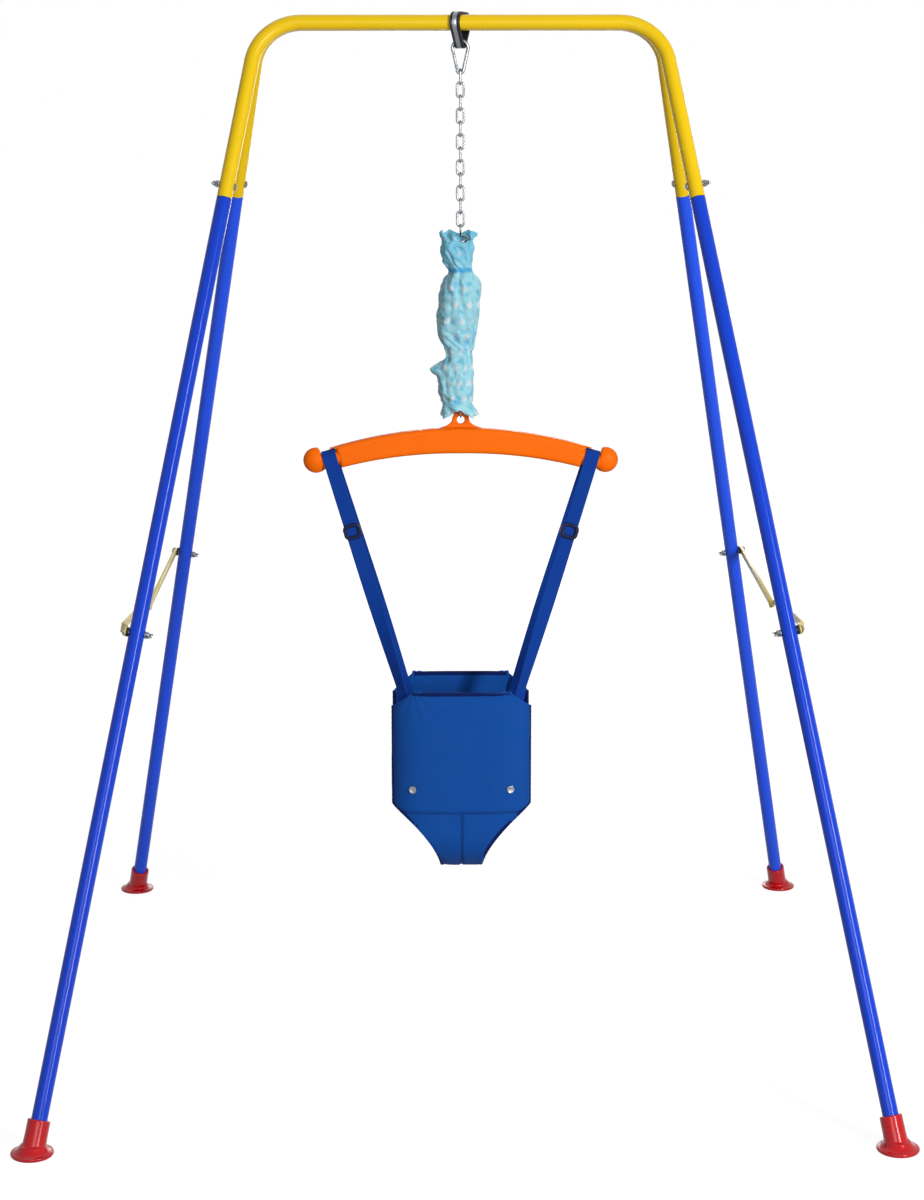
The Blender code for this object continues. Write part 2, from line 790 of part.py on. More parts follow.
def band_outline(offset):
    """The line of the band round both bars and the hook, outside them by the offset."""
    bar = TUBE_RADIUS + offset
    low = BAND_BOTTOM_RADIUS + offset
    run = Vector((BAR_SPACING / 2, BAND_DROP))
    tangent = math.atan2(run.y, run.x) - math.acos((low - bar) / run.length)
    right_bar = (BAR_SPACING / 2, 0.0)
    left_bar = (-BAR_SPACING / 2, 0.0)
    quarter = math.pi / 2
    points = circle(bar, ARC_STEPS, right_bar, tangent, quarter - tangent)
    points += circle(bar, ARC_STEPS, left_bar, quarter, quarter - tangent)
    bottom_turn = math.pi + 2 * tangent
    points += circle(
        low, ARC_STEPS, (0.0, -BAND_DROP), math.pi - tangent, bottom_turn
    )
    return points


def band_place():
    """The band's outline stands in the YZ plane, skewed along X as it runs back."""
    upright = Matrix(((0, 0, 1, 0), (1, 0, 0, 0), (0, 1, 0, 0), (0, 0, 0, 1)))
    skew = Matrix.Identity(4)
    skew[0][1] = BAND_SKEW
    return Matrix.Translation((0.0, 0.0, BAR_Z)) @ skew @ upright


def band_ring(name, inner, outer, width, material, collection=parts):
    """A closed band of the width, between two offsets from the bars."""
    outlines = [band_outline(outer), band_outline(inner)]
    ring = plate(name, outlines, width, Matrix.Identity(4), material, collection)
    ring = meshed(ring, collection)
    ring.data.transform(band_place())
    return ring


def hanger():
    """The rubber lining with its two lips, and the steel band between them."""
    base = GAP + LINING_BASE
    lining = band_ring(
        "hanger_lining", GAP, base + LINING_LIP_HEIGHT, LINING_WIDTH, "black_rubber"
    )
    groove_width = LINING_WIDTH - 2 * LINING_LIP_WIDTH
    groove = band_ring(
        "hanger_groove", base, base + 2 * LINING_LIP_HEIGHT, groove_width, None, cutters
    )
    boolean(lining, groove)
    band_ring(
        "hanger_band",
        base + GAP,
        base + GAP + BAND_THICKNESS,
        groove_width - 2 * GAP,
        "zinc",
    )


BAND_BOTTOM_Z = BAR_Z - BAND_DROP - BAND_BOTTOM_RADIUS - GAP
HALF_LINING = LINING_WIDTH / 2
HOOK_INNER_RADIUS = HOOK_TOP_RADIUS - HOOK_WIRE_RADIUS
HOOK_EDGE_RISE = math.sqrt(max(HOOK_INNER_RADIUS**2 - HALF_LINING**2, 0.0))
HOOK_TOP_Z = BAND_BOTTOM_Z - HOOK_EDGE_RISE + 2 * HOOK_ABOVE_BAND
HOOK_BOTTOM_Z = HOOK_TOP_Z - HOOK_CENTRES
HOOK_SWING_Z = BAR_Z - BAND_DROP


def hook_sides():
    """The angle of the hook's straight sides from the vertical."""
    return math.asin((HOOK_TOP_RADIUS - HOOK_BOTTOM_RADIUS) / HOOK_CENTRES)


def hook_side_point(share):
    """A point on the gate's side of the hook, from its bottom to its top."""
    lean = hook_sides()
    outward = Vector((-math.cos(lean), 0.0, -math.sin(lean)))
    low = Vector((0.0, 0.0, HOOK_BOTTOM_Z)) + outward * HOOK_BOTTOM_RADIUS
    high = Vector((0.0, 0.0, HOOK_TOP_Z)) + outward * HOOK_TOP_RADIUS
    return low.lerp(high, share)


def gate_pivot():
    return hook_side_point(GATE_START)


def snap_hook():
    """The pear-shaped hook, open on its left, and the gate that closes it."""
    lean = hook_sides()
    low_end = hook_side_point(0.0)
    along = (hook_side_point(1.0) - low_end).normalized()
    stub = gate_pivot() - along * (HOOK_WIRE_RADIUS + GATE_GAP)
    nose = hook_side_point(GATE_END)
    points = [stub]
    bottom_start = math.pi + lean
    for x, z in circle(
        HOOK_BOTTOM_RADIUS, 8, (0.0, HOOK_BOTTOM_Z), bottom_start, math.pi - 2 * lean
    ):
        points.append(Vector((x, 0.0, z)))
    for x, z in circle(
        HOOK_TOP_RADIUS, 12, (0.0, HOOK_TOP_Z), -lean, math.pi + 2 * lean
    ):
        points.append(Vector((x, 0.0, z)))
    points.append(nose)
    wire("snap_hook", points, HOOK_WIRE_RADIUS, 2, "zinc")
    tip = nose - along * GATE_GAP
    gate = rod("snap_gate", gate_pivot(), tip, GATE_RADIUS, 8, parts, "zinc")
    ball = bpy.data.meshes.new("gate_ball")
    work = bmesh.new()
    bmesh.ops.create_uvsphere(
        work, u_segments=8, v_segments=6, radius=HOOK_WIRE_RADIUS
    )
    work.to_mesh(ball)
    work.free()
    knuckle = add_object("gate_ball", ball, None, cutters)
    knuckle.location = gate_pivot()
    boolean(gate, knuckle, "UNION")
    return gate


# Chain, spring and ring

LINK_STEP = 2 * LINK_WIRE_RADIUS + GAP
LINK_CENTRES = LINK_PITCH + LINK_STEP
LINK_SIT = HOOK_WIRE_RADIUS + LINK_WIRE_RADIUS + GAP - HOOK_BOTTOM_RADIUS
LINK_RISE = max(LINK_SIT, 0.0) / math.sin(hook_sides()) + GAP
CHAIN_TOP_Z = HOOK_BOTTOM_Z + LINK_RISE
CHAIN_END_Z = CHAIN_TOP_Z - (LINK_COUNT - 1) * LINK_PITCH - LINK_CENTRES


def chain_pivot_z(first):
    """Where a length of chain turns: the first hangs on the hook's wire."""
    if first == 0:
        return link_top(0)
    lower_wire = link_top(first - 1) - LINK_CENTRES
    return lower_wire if first % 8 else link_top(first)


def link_top(index):
    """The height of the centre of a link's upper wire."""
    return CHAIN_TOP_Z - index * LINK_PITCH


def chain_link(index):
    """One link. Even links stand across the hook, odd ones along it."""
    radius = LINK_WIDTH / 2 - LINK_WIRE_RADIUS
    top = link_top(index) - radius
    bottom = link_top(index) - LINK_CENTRES + radius
    upper = circle(radius, LINK_ARC_STEPS, (0.0, top), 0.0, math.pi)
    lower = circle(radius, LINK_ARC_STEPS, (0.0, bottom), math.pi, math.pi)
    if index % 2 == 0:
        points = [Vector((0.0, u, z)) for u, z in upper + lower]
    else:
        points = [Vector((u, 0.0, z)) for u, z in upper + lower]
    name = f"chain_link_{index + 1:02d}"
    return wire(name, points, LINK_WIRE_RADIUS, 1, "zinc", cyclic=True)


LOOP_SPAN = SPRING_LOOP_RISE + SPRING_LOOP_RADIUS
SPRING_TOP_Z = CHAIN_END_Z + LINK_WIRE_RADIUS + GAP + SPRING_WIRE_RADIUS
SPRING_BODY_TOP = SPRING_TOP_Z - LOOP_SPAN
SPRING_BODY_BOTTOM = SPRING_BODY_TOP - SPRING_LENGTH
SPRING_BOTTOM_Z = SPRING_BODY_BOTTOM - LOOP_SPAN


def loop_points(angle, base, rise):
    """The upright loop at one end of the spring, in the plane of the angle."""
    out = Vector((math.cos(angle), math.sin(angle), 0.0))
    centre = base + rise * SPRING_LOOP_RISE
    points = []
    for i in range(12):
        turn = math.radians(-38 + 256 * i / 11)
        across = out * math.cos(turn) * SPRING_LOOP_RADIUS
        height = rise * math.sin(turn) * SPRING_LOOP_RADIUS
        points.append(Vector((0.0, 0.0, centre + height)) + across)
    return points


def spring():
    """One unbroken wire: the upper loop, the turns and the lower loop."""
    start_angle = math.pi / 2
    turns = SPRING_TURNS + 0.25
    steps = round(turns * CURL_POINTS)
    coil = []
    for i in range(steps + 1):
        angle = start_angle - 2 * math.pi * turns * i / steps
        height = SPRING_BODY_TOP - SPRING_LENGTH * i / steps
        coil.append(
            Vector(
                (
                    SPRING_RADIUS * math.cos(angle),
                    SPRING_RADIUS * math.sin(angle),
                    height,
                )
            )
        )
    end_angle = start_angle - 2 * math.pi * turns
    upper = loop_points(start_angle, SPRING_BODY_TOP, 1)
    lower = loop_points(end_angle, SPRING_BODY_BOTTOM, -1)
    points = list(reversed(upper)) + coil + lower
    print(f"spring: least gap to itself {1000 * self_gap(points):.2f} mm")
    return wire("spring", points, SPRING_WIRE_RADIUS, 1, "zinc")


def self_gap(points):
    """The least gap between the wire and itself, past the nearest turn."""
    apart = CURL_POINTS // 2 + 1
    least = min(
        (a - b).length
        for i, a in enumerate(points)
        for b in points[i + apart :]
    )
    return least - 2 * SPRING_WIRE_RADIUS


RING_TOP_Z = SPRING_BOTTOM_Z + SPRING_WIRE_RADIUS + GAP + RING_WIRE_RADIUS
RING_Z = RING_TOP_Z - RING_RADIUS
RING_BOTTOM_Z = RING_Z - RING_RADIUS


def lug_ring():
    """The steel ring through the spring's lower loop and the bar's lug."""
    bpy.ops.mesh.primitive_torus_add(
        major_segments=20,
        minor_segments=6,
        major_radius=RING_RADIUS,
        minor_radius=RING_WIRE_RADIUS,
        location=(0.0, 0.0, RING_Z),
        rotation=(0.0, math.pi / 2, 0.0),
    )
    ring = bpy.context.object
    ring.name = "lug_ring"
    ring.data.materials.append(FINISHES["zinc"])
    for owner in list(ring.users_collection):
        owner.objects.unlink(ring)
    parts.objects.link(ring)
    ring.data.shade_smooth()
    return ring


LUG_HOLE_Z = RING_BOTTOM_Z + RING_WIRE_RADIUS + GAP * 2 - LUG_HOLE_RADIUS
RING_LIFT = RING_RADIUS - math.sqrt(RING_RADIUS**2 - (LUG_THICKNESS / 2) ** 2)
LUG_Z = LUG_HOLE_Z + RING_LIFT
BAR_CENTRE_Z = LUG_Z - LUG_ABOVE_BAR - BAR_DEPTH / 2

# Sleeve

SLEEVE_TOP_Z = SPRING_TOP_Z - SLEEVE_TOP_ABOVE


def sleeve_profile(share):
    """The sleeve's radius and its shift to the left, as shares of its widest radius.

    The cloth is drawn in under its frilled top and again at two thirds of its length.
    """
    knots = (
        (0.00, 0.64, 0.15),
        (0.07, 0.75, 0.19),
        (0.17, 0.67, 0.19),
        (0.20, 0.63, 0.11),
        (0.25, 0.81, -0.04),
        (0.38, 1.00, 0.11),
        (0.55, 0.91, 0.19),
        (0.67, 0.64, 0.08),
        (0.75, 0.75, 0.15),
        (0.87, 0.85, 0.30),
        (0.94, 0.77, 0.23),
        (1.00, 0.64, 0.00),
    )
    for (a, low, left), (b, high, right) in zip(knots, knots[1:]):
        if share <= b:
            part_way = (share - a) / (b - a)
            return low + (high - low) * part_way, left + (right - left) * part_way
    return knots[-1][1:]


def sleeve_point(column, row):
    """A point on the gathered cloth: folds that turn as they go down, and one flap."""
    share = row / SLEEVE_ROWS
    turn = 2 * math.pi * column / SLEEVE_COLUMNS
    wide, left = sleeve_profile(share)
    radius = SLEEVE_RADIUS * wide
    shift = SLEEVE_RADIUS * left
    fold = 0.060 * math.sin(5 * turn + 7.0 * share)
    fold += 0.035 * math.sin(3 * turn - 11.0 * share)
    radius *= 1.0 + fold
    off_side = (turn - math.pi) / FLAP_ANGLE
    off_row = (share - FLAP_AT) / FLAP_SPREAD
    radius += FLAP_REACH * math.exp(-(off_side**2) - off_row**2)
    place = Vector((radius * math.cos(turn) - shift, radius * math.sin(turn), 0.0))
    coil = SPRING_RADIUS + SPRING_WIRE_RADIUS + SLEEVE_CLOTH + SLEEVE_CLEARANCE
    if place.length < coil:
        place *= coil / place.length
    place.z = SLEEVE_TOP_Z - SLEEVE_LENGTH * share
    return place


def sleeve():
    """The gathered tube of cloth over the spring, open at both ends."""
    mesh = bpy.data.meshes.new("spring_sleeve")
    work = bmesh.new()
    rows = [
        [work.verts.new(sleeve_point(c, r)) for c in range(SLEEVE_COLUMNS)]
        for r in range(SLEEVE_ROWS + 1)
    ]
    for upper, lower in zip(rows, rows[1:]):
        for c in range(SLEEVE_COLUMNS):
            following = (c + 1) % SLEEVE_COLUMNS
            work.faces.new((upper[c], lower[c], lower[following], upper[following]))
    work.to_mesh(mesh)
    work.free()
    cloth = add_object("spring_sleeve", mesh, "sleeve_cloth")
    wall = cloth.modifiers.new("Cloth", "SOLIDIFY")
    wall.thickness = SLEEVE_CLOTH
    wall.offset = -1.0
    smooth(mesh, 80)
    return cloth


# Spreader bar


def bar_point(along, up):
    """A point on the arched bar, by its distance along the arc and above its middle."""
    angle = along / BAR_ARC_RADIUS
    reach = BAR_ARC_RADIUS + up
    return (
        reach * math.sin(angle),
        BAR_CENTRE_Z - BAR_ARC_RADIUS + reach * math.cos(angle),
    )


BAR_HALF_ALONG = NOTCH_ALONG - NOTCH_WIDTH / 2
NOTCH_ANGLE = NOTCH_ALONG / BAR_ARC_RADIUS
NOTCH_X, NOTCH_Z = bar_point(NOTCH_ALONG, 0.0)


def bar_half_depth(along):
    share = abs(along) / BAR_HALF_ALONG
    return (BAR_DEPTH + (BAR_END_DEPTH - BAR_DEPTH) * share) / 2


def bar_outline_points():
    """The arched bar from the front, without its ends."""
    steps = [BAR_HALF_ALONG * (2 * i / BAR_STEPS - 1) for i in range(BAR_STEPS + 1)]
    top = [bar_point(s, bar_half_depth(s)) for s in steps]
    bottom = [bar_point(s, -bar_half_depth(s)) for s in reversed(steps)]
    return bottom + top


def lug_outline():
    """The lug: a round eye that flares out into the bar."""
    eye = circle(LUG_RADIUS, 10, (0.0, LUG_Z), math.radians(-10), math.radians(200))
    inside = BAR_CENTRE_Z + BAR_DEPTH * 0.25
    top = BAR_CENTRE_Z + bar_half_depth(0.0)
    right = [(LUG_FLARE_HALF * out, top + LUG_ABOVE_BAR * up) for out, up in LUG_FLARE]
    right.append((LUG_FLARE_HALF, inside))
    left = [(-x, z) for x, z in right]
    return [*eye, *left, *reversed(right)]


def upright_place():
    """Turns a flat outline up, so that it is seen from the front."""
    return Matrix.Rotation(math.pi / 2, 4, "X")


def bar_end(side):
    """The neck that the strap lies on and the ball that keeps it there."""
    along = NOTCH_ALONG + BALL_BEYOND_NOTCH
    x, z = bar_point(along, BALL_RISE)
    ball = bpy.data.meshes.new(f"bar_ball_{side_name(side)}")
    work = bmesh.new()
    bmesh.ops.create_uvsphere(
        work, u_segments=14, v_segments=9, radius=BALL_RADIUS
    )
    bmesh.ops.rotate(work, matrix=Matrix.Rotation(math.pi / 2, 3, "X"), verts=work.verts)
    depth = BAR_THICKNESS * 1.06 / (2 * BALL_RADIUS)
    bmesh.ops.scale(work, vec=Vector((1.0, depth, 1.0)), verts=work.verts)
    cut_x, cut_z = bar_point(NOTCH_ALONG + NOTCH_WIDTH / 2, 0.0)
    normal = Vector((-math.cos(NOTCH_ANGLE), 0.0, math.sin(NOTCH_ANGLE)))
    place = Vector((cut_x - x, 0.0, cut_z - z))
    made = bmesh.ops.bisect_plane(
        work,
        geom=work.verts[:] + work.edges[:] + work.faces[:],
        plane_co=place,
        plane_no=normal,
        clear_outer=True,
    )
    rim = [e for e in made["geom_cut"] if isinstance(e, bmesh.types.BMEdge)]
    bmesh.ops.holes_fill(work, edges=rim)
    if side < 0:
        bmesh.ops.scale(work, vec=Vector((-1.0, 1.0, 1.0)), verts=work.verts)
    bmesh.ops.recalc_face_normals(work, faces=work.faces)
    work.to_mesh(ball)
    work.free()
    knob = add_object(ball.name, ball, None, cutters)
    knob.location = (side * x, 0.0, z)
    start = bar_point(BAR_HALF_ALONG - NOTCH_WIDTH / 3, 0.0)
    end = bar_point(NOTCH_ALONG + NOTCH_WIDTH * 0.8, 0.0)
    neck = rod(
        f"bar_neck_{side_name(side)}",
        Vector((side * start[0], 0.0, start[1])),
        Vector((side * end[0], 0.0, end[1])),
        NECK_RADIUS,
        14,
    )
    return knob, neck


def bar_lip(side):
    """The thin lip over the strap at the end of the bar's top edge."""
    along = BAR_HALF_ALONG + LIP_LENGTH / 2 - BAR_EDGE
    x, z = bar_point(along, bar_half_depth(BAR_HALF_ALONG) - LIP_THICKNESS / 2)
    size = (LIP_LENGTH + 2 * BAR_EDGE, LIP_DEPTH, LIP_THICKNESS)
    tilt = Matrix.Rotation(side * along / BAR_ARC_RADIUS, 4, "Y")
    place = Matrix.Translation((side * x, 0.0, z)) @ tilt
    return block(f"bar_lip_{side_name(side)}", size, place)


def spreader_bar():
    """The arched bar, its lug, and a neck, a ball and a lip at each end."""
    bar = plate(
        "spreader_bar",
        [bar_outline_points()],
        BAR_THICKNESS,
        upright_place(),
        "orange_plastic",
        edge=BAR_EDGE,
    )
    bar = meshed(bar)
    lug = plate(
        "bar_lug", [lug_outline()], LUG_THICKNESS, upright_place(), None, cutters
    )
    boolean(bar, meshed(lug, cutters), "UNION")
    for side in (-1, 1):
        knob, neck = bar_end(side)
        boolean(bar, neck, "UNION")
        boolean(bar, knob, "UNION")
        boolean(bar, bar_lip(side), "UNION")
    hole = rod(
        "bar_lug_hole",
        Vector((0.0, -BAR_THICKNESS, LUG_Z)),
        Vector((0.0, BAR_THICKNESS, LUG_Z)),
        LUG_HOLE_RADIUS,
        16,
    )
    boolean(bar, hole)
    return bar


# Straps and buckles

STRAP_WRAP = NECK_RADIUS + STRAP_PLAY + WEBBING_THICKNESS / 2
HARNESS_TOP_Z = NOTCH_Z - STRAP_DROP
STRAP_END_Z = HARNESS_TOP_Z - STRAP_TUCK


def superellipse(theta, half_width, half_depth):
    """A point of the harness's section, from above. Theta is 0 at the front."""
    power = 2.0 / HARNESS_POWER
    x = half_width * math.copysign(abs(math.sin(theta)) ** power, math.sin(theta))
    y = half_depth * math.copysign(abs(math.cos(theta)) ** power, math.cos(theta))
    return x, -y


def section_y(x, half_width, half_depth):
    share = min(abs(x) / half_width, 1.0) ** HARNESS_POWER
    return half_depth * (1.0 - share) ** (1.0 / HARNESS_POWER)


def strap_seat(x):
    """Where a strap lies flat behind a panel, and its direction across."""
    reach = STRAP_SEAT_SHARE * WEBBING_WIDTH / 2
    inner = Vector((x - reach, 0.0, 0.0))
    outer = Vector((x + reach, 0.0, 0.0))
    for point in (inner, outer):
        point.y = section_y(point.x, HARNESS_SECTION_HALF, HARNESS_HALF_DEPTH)
    across = (outer - inner).normalized()
    normal = Vector((across.y, -across.x, 0.0))
    behind = HARNESS_CLOTH + WEBBING_THICKNESS / 2 + STRAP_SEAT_GAP
    return (inner + outer) / 2 + normal * behind, across


def strap_frame(side):
    """The notch's centre, and the directions down a strap and across it."""
    centre = Vector((side * NOTCH_X, 0.0, NOTCH_Z))
    inward = NOTCH_X - STRAP_FOOT_HALF_X
    lean = math.atan2(inward, NOTCH_Z - HARNESS_TOP_Z)
    down = Vector((-side * math.sin(lean), 0.0, -math.cos(lean)))
    across = Vector((math.cos(lean), 0.0, -side * math.sin(lean)))
    return centre, down, across


def strap_low_point(side, face, height):
    """A point of a strap's run behind a panel, and its direction across."""
    centre, down, _ = strap_frame(side)
    on_line = centre + down * ((centre.z - height) / -down.z)
    seat, along = strap_seat(abs(on_line.x))
    place = Vector((side * seat.x, face * seat.y, height))
    return place, Vector((along.x, side * face * along.y, 0.0))


def strap_knee(side):
    return strap_low_point(side, -1, HARNESS_TOP_Z + STRAP_KNEE_ABOVE)[0]


def strap_tangent(side):
    """The angle at which the front run leaves the wrap, from straight forward."""
    centre, down, _ = strap_frame(side)
    end = strap_knee(side) - centre
    below = end.dot(down)
    forward = -end.y
    distance = math.hypot(below, forward)
    return math.atan2(below, forward) - math.acos(STRAP_WRAP / distance)


def strap_point(side, angle):
    """A point of the wrap: 0 is straight forward, a quarter turn is the top."""
    centre, down, _ = strap_frame(side)
    forward = -Y_AXIS * math.cos(angle) * STRAP_WRAP
    return centre + forward - down * math.sin(angle) * STRAP_WRAP


def strap_run(side):
    """Where the straight front run starts, and its direction."""
    start = strap_point(side, -strap_tangent(side))
    return start, (strap_knee(side) - start).normalized()


def strap(side):
    """One webbing strap: up from the front panel, over the neck, down to the back."""
    leave = -strap_tangent(side)
    steps = 8
    sweep = math.pi - 2 * leave
    middle = [strap_point(side, leave + sweep * i / steps) for i in range(steps + 1)]
    _, _, across = strap_frame(side)
    heights = (STRAP_END_Z, HARNESS_TOP_Z + STRAP_KNEE_ABOVE)
    front = [strap_low_point(side, -1, height) for height in heights]
    back = [strap_low_point(side, 1, height) for height in reversed(heights)]
    top, along = strap_run(side)
    low = top + along * STRAP_FLAT_RUN
    middle = [low, *middle, Vector((low.x, -low.y, low.z))]
    run = [*front, *[(point, across) for point in middle], *back]
    name = f"strap_{side_name(side)}"
    mesh = bpy.data.meshes.new(name)
    work = bmesh.new()
    half = WEBBING_WIDTH / 2
    rows = [
        (work.verts.new(point - width * half), work.verts.new(point + width * half))
        for point, width in run
    ]
    for (a, b), (c, d) in zip(rows, rows[1:]):
        work.faces.new((a, b, d, c))
    work.to_mesh(mesh)
    work.free()
    band = add_object(name, mesh, "webbing")
    thick = band.modifiers.new("Webbing", "SOLIDIFY")
    thick.thickness = WEBBING_THICKNESS
    thick.offset = 0.0
    thick.use_even_offset = True
    return band


def buckle(side):
    """A slide buckle on the front run: its outer bars in front, its middle one behind."""
    name = f"buckle_{side_name(side)}"
    start, along = strap_run(side)
    _, _, across = strap_frame(side)
    centre = start + along * BUCKLE_ALONG
    across = across * side
    place = axes_matrix(centre, along.cross(across) * -1, across)
    out = 1.0 if place.to_3x3().col[2].y < 0 else -1.0
    rail = (BUCKLE_WIDTH - WEBBING_WIDTH) / 2 - BUCKLE_PLAY
    layer = (WEBBING_THICKNESS + BUCKLE_BAR_THICKNESS) / 2 + BUCKLE_PLAY
    depth = 2 * layer + BUCKLE_BAR_THICKNESS
    rail_x = BUCKLE_WIDTH / 2 - rail / 2
    frame_parts = [
        ((rail, BUCKLE_HEIGHT, depth), (-rail_x, 0.0, 0.0)),
        ((rail, BUCKLE_HEIGHT, depth), (rail_x, 0.0, 0.0)),
    ]
    bar_y = (BUCKLE_HEIGHT - BUCKLE_BAR) / 2 - BUCKLE_PLAY
    bar_size = (BUCKLE_WIDTH - rail, BUCKLE_BAR, BUCKLE_BAR_THICKNESS)
    for y, lift in ((-bar_y, layer), (bar_y, layer), (0.0, -layer)):
        frame_parts.append((bar_size, (0.0, y, lift * out)))
    pieces = []
    for i, (size, offset) in enumerate(frame_parts):
        where = place @ Matrix.Translation(offset)
        if i == 0:
            pieces.append(
                block(name, size, where, parts, "buckle_plastic", rounding=0.0008)
            )
        else:
            label = f"{name}_piece_{i}"
            pieces.append(block(label, size, where, rounding=0.0006))
    for other in pieces[1:]:
        boolean(pieces[0], other, "UNION")
    return pieces[0]


# Harness

HARNESS_CORNER_Z = HARNESS_TOP_Z - HARNESS_SHOULDER
HARNESS_SIDE_END_Z = HARNESS_CORNER_Z - HARNESS_SIDE
CROTCH_Z = HARNESS_SIDE_END_Z - HARNESS_LEG_CUT


def panel_rows():
    """Rows of a panel from its top edge: half width, half depth and height."""
    deep = HARNESS_HALF_DEPTH
    rows = []
    for i in range(SHOULDER_ROWS + 1):
        share = i / SHOULDER_ROWS
        half = HARNESS_TOP_HALF + (HARNESS_HALF_WIDTH - HARNESS_TOP_HALF) * share
        rows.append((half, deep, HARNESS_TOP_Z - HARNESS_SHOULDER * share))
    wing_top = HARNESS_SIDE_END_Z + WING_TOP_UP
    wing_bottom = HARNESS_SIDE_END_Z + WING_BOTTOM_UP
    middle = (HARNESS_CORNER_Z + wing_top) / 2
    for height in (middle, wing_top, wing_bottom, HARNESS_SIDE_END_Z):
        rows.append((HARNESS_HALF_WIDTH, deep, height))
    for i in range(1, CROTCH_ROWS + 1):
        fall = math.sin(math.pi / 2 * i / CROTCH_ROWS)
        narrowed = (1.0 - fall) ** LEG_CUT_POWER
        spread = HARNESS_HALF_WIDTH - CROTCH_HALF_WIDTH
        under = max(0.0, (fall - CROTCH_TURN) / (1.0 - CROTCH_TURN))
        rows.append(
            (
                CROTCH_HALF_WIDTH + spread * narrowed,
                deep * math.sqrt(1.0 - under**2),
                HARNESS_SIDE_END_Z - HARNESS_LEG_CUT * fall,
            )
        )
    return rows


def panel_share(column):
    """How far out a column of a panel lies: they stand closer towards the edges."""
    return math.sin(math.pi / 2 * (2 * column / PANEL_COLUMNS - 1))


def panel_seat(x):
    """The middle of a panel's flat face at x, and the face's outward direction."""
    edges = [panel_share(c) * HARNESS_HALF_WIDTH for c in range(PANEL_COLUMNS + 1)]
    near = max(edge for edge in edges if edge <= x)
    far = min(edge for edge in edges if edge > x)
    start, end = (
        Vector((e, -section_y(e, HARNESS_SECTION_HALF, HARNESS_HALF_DEPTH), 0.0))
        for e in (near, far)
    )
    along = (end - start).normalized()
    return start + along * ((x - near) / along.x), Vector((along.y, -along.x, 0.0))


def panel_point(face, column, row):
    """A point on the outer side of a panel. Columns run from left to right."""
    width, depth, height = row
    x = width * panel_share(column)
    flat = section_y(x, HARNESS_SECTION_HALF, HARNESS_HALF_DEPTH) / HARNESS_HALF_DEPTH
    y = max(depth * flat, SEAM_GAP / 2)
    return Vector((x, face * y, height))


def solid_cloth(name, mesh, thickness):
    cloth = add_object(name, mesh, "harness_cloth")
    wall = cloth.modifiers.new("Cloth", "SOLIDIFY")
    wall.thickness = thickness
    wall.offset = -1.0
    smooth(mesh, 60)
    return cloth


def harness_front():
    """The front panel, which narrows between the legs and runs under the seat."""
    mesh = bpy.data.meshes.new("harness_front")
    work = bmesh.new()
    rows = [
        [work.verts.new(panel_point(-1, c, row)) for c in range(PANEL_COLUMNS + 1)]
        for row in panel_rows()
    ]
    for upper, lower in zip(rows, rows[1:]):
        for c in range(PANEL_COLUMNS):
            work.faces.new((upper[c], lower[c], lower[c + 1], upper[c + 1]))
    work.to_mesh(mesh)
    work.free()
    return solid_cloth("harness_front", mesh, HARNESS_CLOTH)


def wing_point(side, share, height):
    """A point of a wing: share 0 is the back panel's edge, 1 is its end in front."""
    power = HARNESS_POWER / 2.0
    back_theta = math.asin((HARNESS_HALF_WIDTH / HARNESS_SECTION_HALF) ** power)
    front_theta = math.asin((WING_FRONT_REACH / HARNESS_SECTION_HALF) ** power)
    theta = math.pi - back_theta
    theta += (front_theta - theta) * share
    inset = WING_INSET * min(1.0, share / WING_STEP_IN)
    x, y = superellipse(
        theta, HARNESS_SECTION_HALF - inset, HARNESS_HALF_DEPTH - inset
    )
    return Vector((side * x, y, height))


def harness_back():
    """The back panel, with a wing on each side that goes behind the front panel."""
    mesh = bpy.data.meshes.new("harness_back")
    work = bmesh.new()
    levels = panel_rows()
    rows = [
        [work.verts.new(panel_point(1, c, row)) for c in range(PANEL_COLUMNS + 1)]
        for row in levels
    ]
    for upper, lower in zip(rows, rows[1:]):
        for c in range(PANEL_COLUMNS):
            work.faces.new((upper[c], upper[c + 1], lower[c + 1], lower[c]))
    wing_rows = (WING_ROW, WING_ROW + 1)
    for side, edge in ((-1, 0), (1, PANEL_COLUMNS)):
        before = [rows[r][edge] for r in wing_rows]
        for step in range(1, WING_COLUMNS + 1):
            share = step / WING_COLUMNS
            after = [
                work.verts.new(wing_point(side, share, levels[r][2]))
                for r in wing_rows
            ]
            corners = (before[0], before[1], after[1], after[0])
            work.faces.new(corners if side < 0 else tuple(reversed(corners)))
            before = after
    bmesh.ops.recalc_face_normals(work, faces=work.faces)
    top_face = rows[0][PANEL_COLUMNS // 2].link_faces[0]
    if top_face.normal.y < 0:
        bmesh.ops.reverse_faces(work, faces=work.faces)
    work.to_mesh(mesh)
    work.free()
    return solid_cloth("harness_back", mesh, HARNESS_CLOTH)


def snap(side):
    """The cap of a press stud through the front panel and the wing behind it."""
    seat, normal = panel_seat(SNAP_HALF_X)
    place = axes_matrix(
        Vector((side * seat.x, seat.y, HARNESS_SIDE_END_Z + SNAP_UP)),
        Vector((side * normal.x, normal.y, 0.0)),
        Z_AXIS,
    )
    place = place @ Matrix.Translation((0.0, 0.0, GAP))
    profile = [
        (0.0, SNAP_HEIGHT),
        (SNAP_RADIUS * 0.55, SNAP_HEIGHT * 0.9),
        (SNAP_RADIUS * 0.90, SNAP_HEIGHT * 0.5),
        (SNAP_RADIUS, 0.0),
        (0.0, 0.0),
    ]
    return turned(f"snap_{side_name(side)}", profile, SNAP_SIDES, place, "zinc")


# Empties on the joints' axes, which carry the pieces that move


